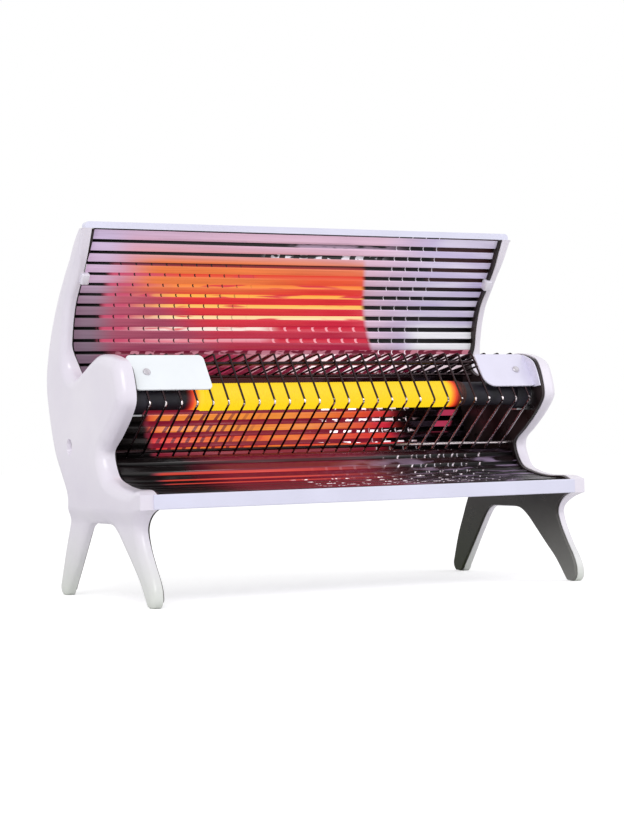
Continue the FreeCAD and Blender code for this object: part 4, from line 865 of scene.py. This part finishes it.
def cut_across(bm, levels):
    """Cuts level rows of edges across a panel, for a bend to follow."""
    for level in levels:
        bmesh.ops.bisect_plane(
            bm, geom=bm.verts[:] + bm.edges[:] + bm.faces[:], plane_co=at(0, level), plane_no=(0, 0,
                                                                          1), dist=1e-7)


def to_side(bm, towards):
    """Turns a right-hand panel over to the left where it belongs there, with its faces outwards."""
    if towards < 0:
        bmesh.ops.scale(bm, vec=(-1, 1, 1), verts=bm.verts)
    bmesh.ops.recalc_face_normals(bm, faces=bm.faces)


def side_moulding(name, node, towards, material, screw_material):
    """One moulded side: the outline drawn out across and rolled over its outer edge, thinner at the legs."""
    loop = side_outline()
    bm = bmesh.new()
    place, skin = outline_skin(bm, loop, SHELL_FACE)
    for step in range(ROLL_STEPS + 2):
        made = bmesh.ops.extrude_face_region(bm, geom=skin)["geom"]
        if step > 0:
            bmesh.ops.delete(bm, geom=skin, context="FACES_ONLY")
        skin = new_only(made, bmesh.types.BMFace)
        turn = math.radians(90) * min(step / ROLL_STEPS, 1.0)
        margin = ROLL_MARGIN if step > ROLL_STEPS else 0.0
        for vert in new_only(made, bmesh.types.BMVert):
            radius = rounding_at(*loop[vert[place]])
            spot = inside_point(loop, vert[place], radius * (1 - math.cos(turn)) + margin)
            vert.co = at(*spot, SHELL_OUTER - radius + radius * math.sin(turn))
    bmesh.ops.delete(bm, geom=[edge for edge in bm.edges if not edge.link_faces], context="EDGES")
    cut_across(bm, LEG_CUTS)
    cut_across(bm, FLARE_CUTS)
    full = SHELL_OUTER - SHELL_FACE
    for vert in bm.verts:
        height = vert.co.z / MM
        share = smoothstep(*LEG_BEVEL, height)
        outer = SHELL_FACE + sizes().leg_thickness * (1 - share) + full * share
        inner = SHELL_FACE + side_flare(vert.co.y / MM - LIP_FACE, height)
        vert.co.x = (inner + (vert.co.x / MM - SHELL_FACE) / full * (outer - inner)) * MM
    to_side(bm, towards)
    piece = finished(name, bm, [material], 40)
    boolean(piece, recess_cutter(towards), 40)
    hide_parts(node)
    screw_head(name + "_screw_head", towards, screw_material)


def side_lining(name, node, towards, material):
    """The dark lining inside a side, a thin panel just within its outline."""
    loop = side_outline()
    bm = bmesh.new()
    tuck = LEFT_LINING_TUCK if towards < 0 else 0.0
    place, skin = outline_skin(bm, loop, LINING_FACE)
    made = bmesh.ops.extrude_face_region(bm, geom=skin)["geom"]
    bmesh.ops.translate(bm, verts=new_only(made, bmesh.types.BMVert),
                        vec=((SHELL_FACE - LINING_FACE) * MM, 0, 0))
    for vert in bm.verts:
        spot = loop[vert[place]]
        to_corner = min(math.hypot(spot[0] - a, spot[1] - b) for (a, b), growth in CORNERS)
        depth, height = inside_point(loop, vert[place], LINING_INSET + tuck * smoothstep(5, 40, to_corner))
        vert.co = at(depth, max(height, LINING_INSET), vert.co.x / MM)
    cut_across(bm, FLARE_CUTS)
    for vert in bm.verts:
        vert.co.x += side_flare(vert.co.y / MM - LIP_FACE, vert.co.z / MM) * MM
    to_side(bm, towards)
    piece = finished(name, bm, [material], 40)
    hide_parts(node)


def recess_cutter(towards):
    """The oval well for the fixing screw, as a cutter that widens towards its mouth."""
    bm = bmesh.new()
    floor = at(*SHELL_SCREW, (SHELL_OUTER - WELL_DEPTH) * towards)
    matrix = Matrix.Translation(floor) @ Matrix.Rotation(math.radians(90), 4, "Y")
    rim = bmesh.ops.create_circle(
        bm, cap_ends=True, segments=32, radius=WELL_RADIUS * MM, matrix=matrix)["verts"]
    lower = [vert for vert in rim if vert.co.z < floor.z - 1e-6]
    bmesh.ops.translate(bm, verts=lower, vec=(0, 0, -WELL_DROP * MM))
    made = bmesh.ops.extrude_face_region(bm, geom=bm.faces[:])["geom"]
    mouth = new_only(made, bmesh.types.BMVert)
    bmesh.ops.translate(bm, verts=mouth, vec=(2 * WELL_DEPTH * MM * towards, 0, 0))
    bmesh.ops.scale(bm, verts=mouth, vec=(1, WELL_WIDENING, WELL_WIDENING), space=Matrix.Translation(-floor))
    return cutting_tool("recess", bm)


def dome_head(bm, radius, height, seat, outward):
    """A pan head with rolled edges."""
    profile = [(0, 0), (radius * MM, 0), (radius * MM, height * 0.45 * MM),
                (radius * 0.86 * MM, height * 0.8 * MM),
               (radius * 0.6 * MM, height * 0.96 * MM), (radius * 0.3 * MM, height * MM), (0, height * MM)]
    turned(bm, profile, seat, outward, 28)


def cross_recess(seat, outward, size, deep):
    """The cutter for a cross-head recess."""
    bm = bmesh.new()
    narrow = size * 0.28
    made = bmesh.ops.create_cube(bm, size=narrow * MM)
    bmesh.ops.scale(bm, vec=(1, 1, deep * 2 / narrow), verts=made["verts"])
    for face in [face for face in bm.faces if abs(face.normal.z) < 0.5]:
        reach = face.normal * (size - narrow) / 2 * MM
        arm = bmesh.ops.extrude_discrete_faces(bm, faces=[face])["faces"][0]
        bmesh.ops.translate(bm, verts=arm.verts, vec=reach)
    bmesh.ops.transform(bm, matrix=facing(seat, outward), verts=bm.verts)
    return cutting_tool("cross", bm)


def crossed_screw(name, seat, outward, radius, height, material):
    """A finished pan-head screw on its seat."""
    bm = bmesh.new()
    dome_head(bm, radius, height, seat, outward)
    bmesh.ops.recalc_face_normals(bm, faces=bm.faces)
    piece = finished(name, bm, [material], 50)
    boolean(piece, cross_recess(seat + outward * height * MM, outward, radius * 1.1, height * 0.55), 35)


def screw_head(name, towards, material):
    """The head at the bottom of a side's well."""
    seat = at(*SHELL_SCREW, towards * (SHELL_OUTER - WELL_DEPTH))
    crossed_screw(name, seat, Vector((towards, 0, 0)), 3.75, 2.0, material)


class HEATER_OT_mouldings(bpy.types.Operator):
    """Both white sides and their dark linings"""
    bl_idname = "heater.mouldings"
    bl_label = "Side mouldings"

    def execute(self, context):
        white, screws = abs_white(), nickel_screw()
        side_moulding("left_moulding", "left_side_shell", -1, white, screws)
        side_moulding("right_moulding", "right_side_shell", 1, white, screws)
        dark = abs_dark()
        side_lining("left_lining", "left_inner_lining", -1, dark)
        side_lining("right_lining", "right_inner_lining", 1, dark)
        repaint(screws, "shell_screws")
        return {"FINISHED"}


def wing_clip(name, node, side, material):
    """The white hook that holds the mirror's end on the wing."""
    low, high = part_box(node)
    middle, size = (low + high) / 2, high - low
    bm = bmesh.new()
    made = bmesh.ops.create_cube(bm, size=1.0)
    bmesh.ops.scale(bm, vec=(8 * MM, size.y * 0.8, size.z * 0.9), verts=made["verts"])
    # the wing leans forward, and the hook with it
    bmesh.ops.rotate(bm, verts=bm.verts, cent=(0, 0, 0), matrix=Matrix.Rotation(math.radians(30), 3, "X"))
    bmesh.ops.translate(bm, verts=bm.verts, vec=(side * (SHELL_FACE + 4) * MM, middle.y, middle.z))
    bmesh.ops.bevel(bm, geom=bm.edges[:], offset=1.5 * MM, segments=3, profile=0.5, affect="EDGES",
                    material=-1)
    bmesh.ops.recalc_face_normals(bm, faces=bm.faces)
    piece = finished(name, bm, [material], 40)
    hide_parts(node)


def ribbed_profile(across):
    """The mirror's front face with pressed grooves of a width: points with a mark for each groove."""
    path = [Vector(point) for point in smooth_run(MIRROR_RUN, 1.0)]
    reach = [0.0]
    for a, b in zip(path, path[1:]):
        reach.append(reach[-1] + (b - a).length)
    total = reach[-1]
    pitch, first, deep = sizes().rib_pitch, sizes().rib_first, sizes().rib_depth

    def place(distance, inward):
        index = max(1, next((i for i, r in enumerate(reach) if r >= distance), len(reach) - 1))
        share = (distance - reach[index - 1]) / (reach[index] - reach[index - 1])
        point = path[index - 1].lerp(path[index], share)
        along = (path[min(index + 1, len(path) - 1)] - path[max(index - 2, 0)]).normalized()
        return point.x - along.y * inward, point.y + along.x * inward

    stations = [(0.0, 0.0, 1)]
    start = EDGE_SHADE
    for index in range(int((total - first) / pitch) + 1):
        groove = BOWL_GROOVE if index in BOWL_GROOVES else across
        flank = groove * 0.25
        end = first + index * pitch - groove / 2
        stations += [(start + (end - start) * step / 4, 0.0, 0) for step in range(4)]
        stations += [(end, 0.0, 1), (end + flank, deep, 1), (end + groove - flank, deep, 1)]
        start = end + groove
    stations += [(start + (total - start) * step / 3, 0.0, 0) for step in range(4)]
    return [(place(distance, inward), mark) for distance, inward, mark in stations]


class HEATER_OT_mirror(bpy.types.Operator):
    """The ribbed mirror, pressed from bright sheet"""
    bl_idname = "heater.mirror"
    bl_label = "Ribbed mirror"

    def execute(self, context):
        land, groove = mirror_land(), mirror_groove()
        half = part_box("reflector")[1].x / MM
        bm = bmesh.new()
        order = bm.verts.layers.int.new("place")
        left, right = (ribbed_profile(sizes().rib_groove * share) for share in GROOVE_SHARES)
        verts = [bm.verts.new(at(*point, -half - flare(point[1]))) for point, mark in left]
        edges = [bm.edges.new(pair) for pair in zip(verts, verts[1:])]
        marks = {edge: left[index][1] for index, edge in enumerate(edges)}
        for index, vert in enumerate(verts):
            vert[order] = index
        made = bmesh.ops.extrude_edge_only(bm, edges=edges)["geom"]
        for vert in new_only(made, bmesh.types.BMVert):
            point = right[vert[order]][0]
            vert.co = at(*point, half + flare(point[1]))
        for face in bm.faces:
            owner = next(edge for edge in face.edges if edge in marks)
            face.material_index = marks[owner]
        bmesh.ops.recalc_face_normals(bm, faces=bm.faces)
        front = sum(1 if face.normal.y < 0 else -1 for face in bm.faces)
        if front < 0:
            bmesh.ops.reverse_faces(bm, faces=bm.faces)
        back = mill_back()
        sheet = finished("ribbed_mirror", bm, [land, groove, back, back], 25)
        wall = sheet.modifiers.new("sheet", "SOLIDIFY")
        wall.thickness = SHEET_THICKNESS * MM
        wall.offset = -1.0
        wall.material_offset = 2
        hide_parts("reflector")
        clip_finish = enamel("enamel_clip_white", linear("#E9E5F0"))
        for side, node in ((-1, "left_wing_clip"), (1, "right_wing_clip")):
            wing_clip(node.replace("clip", "hook"), node, side, clip_finish)
        return {"FINISHED"}


class HEATER_OT_trims(bpy.types.Operator):
    """The enamelled lip trim and top rail, the powder-coated back and the base pan"""
    bl_idname = "heater.trims"
    bl_label = "Trims and covers"

    def execute(self, context):
        trim = enamel("enamel_pale_lilac", colours().enamel)
        repaint(trim, "front_lip", "top_rail")
        repaint(powder_coat(), "back_cover", "base_pan")
        return {"FINISHED"}


class HEATER_OT_guard(bpy.types.Operator):
    """The bent guard wires and their cross rods"""
    bl_idname = "heater.guard"
    bl_label = "Wire guard"

    def execute(self, context):
        wire = plated_wire()
        bm = bmesh.new()
        points = [at(*point) for point in (GUARD_FOOT, APEX, TOP_BEND, GUARD_REAR)]
        bent_rod(bm, points, sizes().wire_diameter / 2 * MM, sizes().wire_bend * MM)
        original = bm.verts[:] + bm.edges[:] + bm.faces[:]
        count = sizes().wire_count
        for index in range(1, count):
            made = bmesh.ops.duplicate(bm, geom=original)
            shift = (index * sizes().wire_pitch * MM, 0, 0)
            bmesh.ops.translate(bm, verts=new_only(made["geom"], bmesh.types.BMVert), vec=shift)
        half = (count - 1) / 2 * sizes().wire_pitch * MM
        bmesh.ops.translate(bm, verts=bm.verts, vec=(-half, 0, 0))
        bmesh.ops.recalc_face_normals(bm, faces=bm.faces)
        guard = finished("bent_guard_wires", bm, [wire], 60)
        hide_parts("guard_wires")
        repaint(wire, "guard_bottom_rod", "guard_top_rod", "guard_rear_rod")
        return {"FINISHED"}


class HEATER_OT_element(bpy.types.Operator):
    """The glowing winding on its ceramic rod, with the caps, brackets and terminals"""
    bl_idname = "heater.element"
    bl_label = "Heating element"

    def execute(self, context):
        low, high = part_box("heating_coil")
        outer = (high.z - low.z) / 2
        pitch = sizes().winding_pitch * MM
        turns = int((high.x - low.x) / pitch)
        profile = [(outer * 0.93, 0.0)]
        for turn in range(turns):
            for share, along in ((0.97, 0.25), (1.0, 0.5), (0.97, 0.75), (0.935, 1.0)):
                profile.append((outer * share, (turn + along) * pitch))
        profile.append((outer * 0.93, high.x - low.x))
        bm = bmesh.new()
        turned(bm, profile, at(*ELEMENT, low.x / MM), Vector((1, 0, 0)), 32)
        bmesh.ops.recalc_face_normals(bm, faces=bm.faces)
        winding = finished("resistance_winding", bm, [glowing_wire()], 180)
        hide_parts("heating_coil")
        repaint(steatite(), "ceramic_rod", "end_caps")
        repaint(zinc_plate(), "element_brackets", "terminal_studs", "terminal_nuts", "plate_clamps",
                "low_tie_bar", "middle_tie_bar", "high_tie_bar", "tie_screws", "thermal_cutout")
        return {"FINISHED"}


def plate_flange(bm):
    """A plate's right end, turned forward along the lining and cut to the nose's outline."""
    slope = (Vector(TOP_BEND) - Vector(APEX)).normalized()
    low, high = (Vector(APEX) + slope * up for up in (PLATE_RISE, PLATE_RISE + PLATE_TALL))
    nose = [Vector(p) for p in smooth_run(FRONT_RUN) if p[0] < high.x - 2 and p[1] > low.y + 1]
    inset = [p.lerp(low + slope * (p - low).dot(slope), FLANGE_INSET) for p in nose]
    face = bm.faces.new([bm.verts.new(at(*p, PLATE_END)) for p in [low] + inset + [high]])
    made = bmesh.ops.extrude_face_region(bm, geom=[face])
    bmesh.ops.translate(bm, verts=new_only(made["geom"], bmesh.types.BMVert), vec=(-FLANGE_THICK * MM, 0, 0))


def plate_piece(name, node, left, right, corners, material):
    """A bare plate on the guard's slope, a radius for each corner; gives its middle and its outward way."""
    along = Vector((0, TOP_BEND[0] - APEX[0], TOP_BEND[1] - APEX[1])).normalized()
    out = Vector((0, -along.z, along.y))
    base = at(*APEX) + out * sizes().wire_diameter / 2 * MM
    top = PLATE_RISE + PLATE_TALL
    bm = bmesh.new()
    places = ((left, PLATE_RISE), (right, PLATE_RISE), (right, top), (left, top))
    verts = [bm.verts.new(base + along * up * MM + Vector((side * MM, 0, 0))) for side, up in places]
    bm.faces.new(verts)
    for vert, radius in zip(verts, corners):
        bmesh.ops.bevel(bm, geom=[vert], offset=radius * MM, offset_type="OFFSET", segments=8,
                        profile=0.5, affect="VERTICES", material=-1)
    made = bmesh.ops.extrude_face_region(bm, geom=bm.faces[:])
    bmesh.ops.translate(bm, verts=new_only(made["geom"], bmesh.types.BMVert), vec=out * PLATE_THICK * MM)
    rim = [e for e in bm.edges if all((v.co - base).dot(out) > PLATE_THICK * 0.9 * MM for v in e.verts)]
    bmesh.ops.bevel(bm, geom=rim, offset=0.5 * MM, segments=3, profile=0.5, affect="EDGES", material=-1)
    if right > 0:
        plate_flange(bm)
    bmesh.ops.recalc_face_normals(bm, faces=bm.faces)
    piece = finished(name, bm, [material], 40)
    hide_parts(node)
    return base + along * (PLATE_RISE + PLATE_TALL / 2) * MM + out * PLATE_THICK * MM, out


class HEATER_OT_plates(bpy.types.Operator):
    """The bare enamelled corner plates and their screws"""
    bl_idname = "heater.plates"
    bl_label = "Corner plates"

    def execute(self, context):
        screws = nickel_screw()
        plates = (
            (-1, "left_corner_plate", (5, 5, 5, 5), enamel("enamel_plate_white", colours().plate)),
            # the right plate has the white plates' enamel painted a little darker and lilac, as painted shade
            (1, "right_corner_plate", (12, 4, 5, 2), enamel("enamel_plate_shaded_lilac", linear("#E8E5F8"))),
        )
        for side, node, corners, white in plates:
            low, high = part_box(node)
            name = node.replace("corner_plate", "plate_enamelled")
            # the right plate reaches across to the lining
            right = high.x / MM if side < 0 else PLATE_END
            seat, out = plate_piece(name, node, low.x / MM, right, corners, white)
            seat += Vector((side * PLATE_SCREW_SIDE * MM, 0, 0))
            crossed_screw(node + "_screw", seat, out, 3.5, 1.8, screws)
        repaint(screws, "plate_screws", "cover_screws")
        return {"FINISHED"}


class HEATER_OT_wiring(bpy.types.Operator):
    """The gland, terminal block, grommets and sleeved leads"""
    bl_idname = "heater.wiring"
    bl_label = "Wiring"

    def execute(self, context):
        repaint(nylon_black(), "cord_gland", "terminal_block", "lead_grommets")
        repaint(glass_sleeve(), "live_lead", "neutral_lead")
        return {"FINISHED"}


def white_to_sight(tree, lit):
    """A strength that is plain white to the eye and in mirrors, and lights the rest at its own level."""
    seen = 0.0
    for ray in ("Is Camera Ray", "Is Glossy Ray", "Is Transmission Ray"):
        share = add(tree, "ShaderNodeLightPath", out=ray)
        seen = add(tree, "ShaderNodeMath", {0: share, 1: seen}, operation="MAXIMUM")
    return add(tree, "ShaderNodeMapRange", {"Value": seen, "To Min": lit, "To Max": 1.0})


def area_light(name, place, aim, size, power, tint):
    """A soft lamp at a place, turned to an aim."""
    lamp = bpy.data.lights.new(name, "AREA")
    lamp.shape = "DISK"
    lamp.size = size
    lamp.energy = power
    lamp.color = tint
    holder = bpy.data.objects.new(name, lamp)
    bpy.context.scene.collection.objects.link(holder)
    holder.location = place
    holder.rotation_euler = (Vector(aim) - Vector(place)).to_track_quat("-Z", "Y").to_euler()


class HEATER_OT_stage(bpy.types.Operator):
    """The pale floor, the studio light and the camera"""
    bl_idname = "heater.stage"
    bl_label = "Studio"

    def execute(self, context):
        scene = context.scene
        world = bpy.data.worlds.new("studio")
        scene.world = world
        world.use_nodes = True
        background = world.node_tree.nodes["Background"]
        background.inputs["Color"].default_value = (1, 1, 1, 1)
        world.node_tree.links.new(white_to_sight(world.node_tree, 0.72), background.inputs["Strength"])
        # floor: white paper, seen white where no shadow falls
        bm = bmesh.new()
        bmesh.ops.create_grid(bm, x_segments=1, y_segments=1, size=6.0)
        mesh = bpy.data.meshes.new("floor")
        bm.to_mesh(mesh)
        bm.free()
        paper, tree, inputs, coords = new_finish("paper_white_matt", (0.86, 0.86, 0.86), 0.95)
        inputs["Specular IOR Level"].default_value = 0.0
        inputs["Emission Color"].default_value = (1, 1, 1, 1)
        glow = add(tree, "ShaderNodeMath",
                   {0: add(tree, "ShaderNodeLightPath", out="Is Camera Ray"), 1: 0.42},
                   operation="MULTIPLY")
        tree.links.new(glow, inputs["Emission Strength"])
        mesh.materials.append(paper)
        floor = bpy.data.objects.new("floor", mesh)
        scene.collection.objects.link(floor)
        area_light("key", (-1.6, -2.2, 2.2), (0, 0, 0.15), 1.6, 34, (1.0, 0.99, 1.0))
        area_light("fill", (2.2, -1.4, 1.2), (0, 0, 0.15), 1.8, 12, (0.95, 0.93, 1.0))
        self.camera(scene)
        scene.view_settings.view_transform = "Standard"
        return {"FINISHED"}

    @staticmethod
    def camera(scene):
        """A camera left of the heater, about level with it and two metres away."""
        yaw, pitch, roll = (math.radians(turn) for turn in CAMERA_TURNS)
        forward = Vector((math.sin(yaw) * math.cos(pitch), math.cos(yaw) * math.cos(pitch), -math.sin(pitch)))
        flat_right = Vector((math.cos(yaw), -math.sin(yaw), 0))
        flat_up = flat_right.cross(forward)
        right = flat_right * math.cos(roll) + flat_up * math.sin(roll)
        up = flat_up * math.cos(roll) - flat_right * math.sin(roll)
        lens = bpy.data.cameras.new("camera")
        lens.sensor_fit = "VERTICAL"
        lens.sensor_height = 36.0
        lens.lens = CAMERA_LENS
        lens.clip_start = 0.05
        holder = bpy.data.objects.new("camera", lens)
        scene.collection.objects.link(holder)
        axes = Matrix((right, up, -forward)).transposed().to_4x4()
        holder.matrix_world = Matrix.Translation(Vector(CAMERA_PLACE) * MM) @ axes
        scene.camera = holder


OPERATORS = (
    HEATER_OT_mouldings, HEATER_OT_mirror, HEATER_OT_trims, HEATER_OT_guard, HEATER_OT_element,
    HEATER_OT_plates, HEATER_OT_wiring, HEATER_OT_stage,
)


class HEATER_PT_panel(bpy.types.Panel):
    """Lists the pieces of the heater"""
    bl_label = "Bar heater"
    bl_idname = "HEATER_PT_panel"
    bl_space_type = "VIEW_3D"
    bl_region_type = "UI"
    bl_category = "Heater"

    def draw(self, context):
        for operator in OPERATORS:
            self.layout.operator(operator.bl_idname)
        for group in (context.scene.heater_sizes, context.scene.heater_colours):
            for name in group.__annotations__:
                self.layout.prop(group, name)


CLASSES = (HeaterSizes, HeaterColours) + OPERATORS + (HEATER_PT_panel,)


def register():
    for kind in CLASSES:
        bpy.utils.register_class(kind)
    bpy.types.Scene.heater_sizes = PointerProperty(type=HeaterSizes)
    bpy.types.Scene.heater_colours = PointerProperty(type=HeaterColours)


def unregister():
    del bpy.types.Scene.heater_sizes
    del bpy.types.Scene.heater_colours
    for kind in reversed(CLASSES):
        bpy.utils.unregister_class(kind)


def main():
    register()
    bpy.ops.heater.mouldings()
    bpy.ops.heater.mirror()
    bpy.ops.heater.trims()
    bpy.ops.heater.guard()
    bpy.ops.heater.element()
    bpy.ops.heater.plates()
    bpy.ops.heater.wiring()
    bpy.ops.heater.stage()


if __name__ == "__main__":
    main()
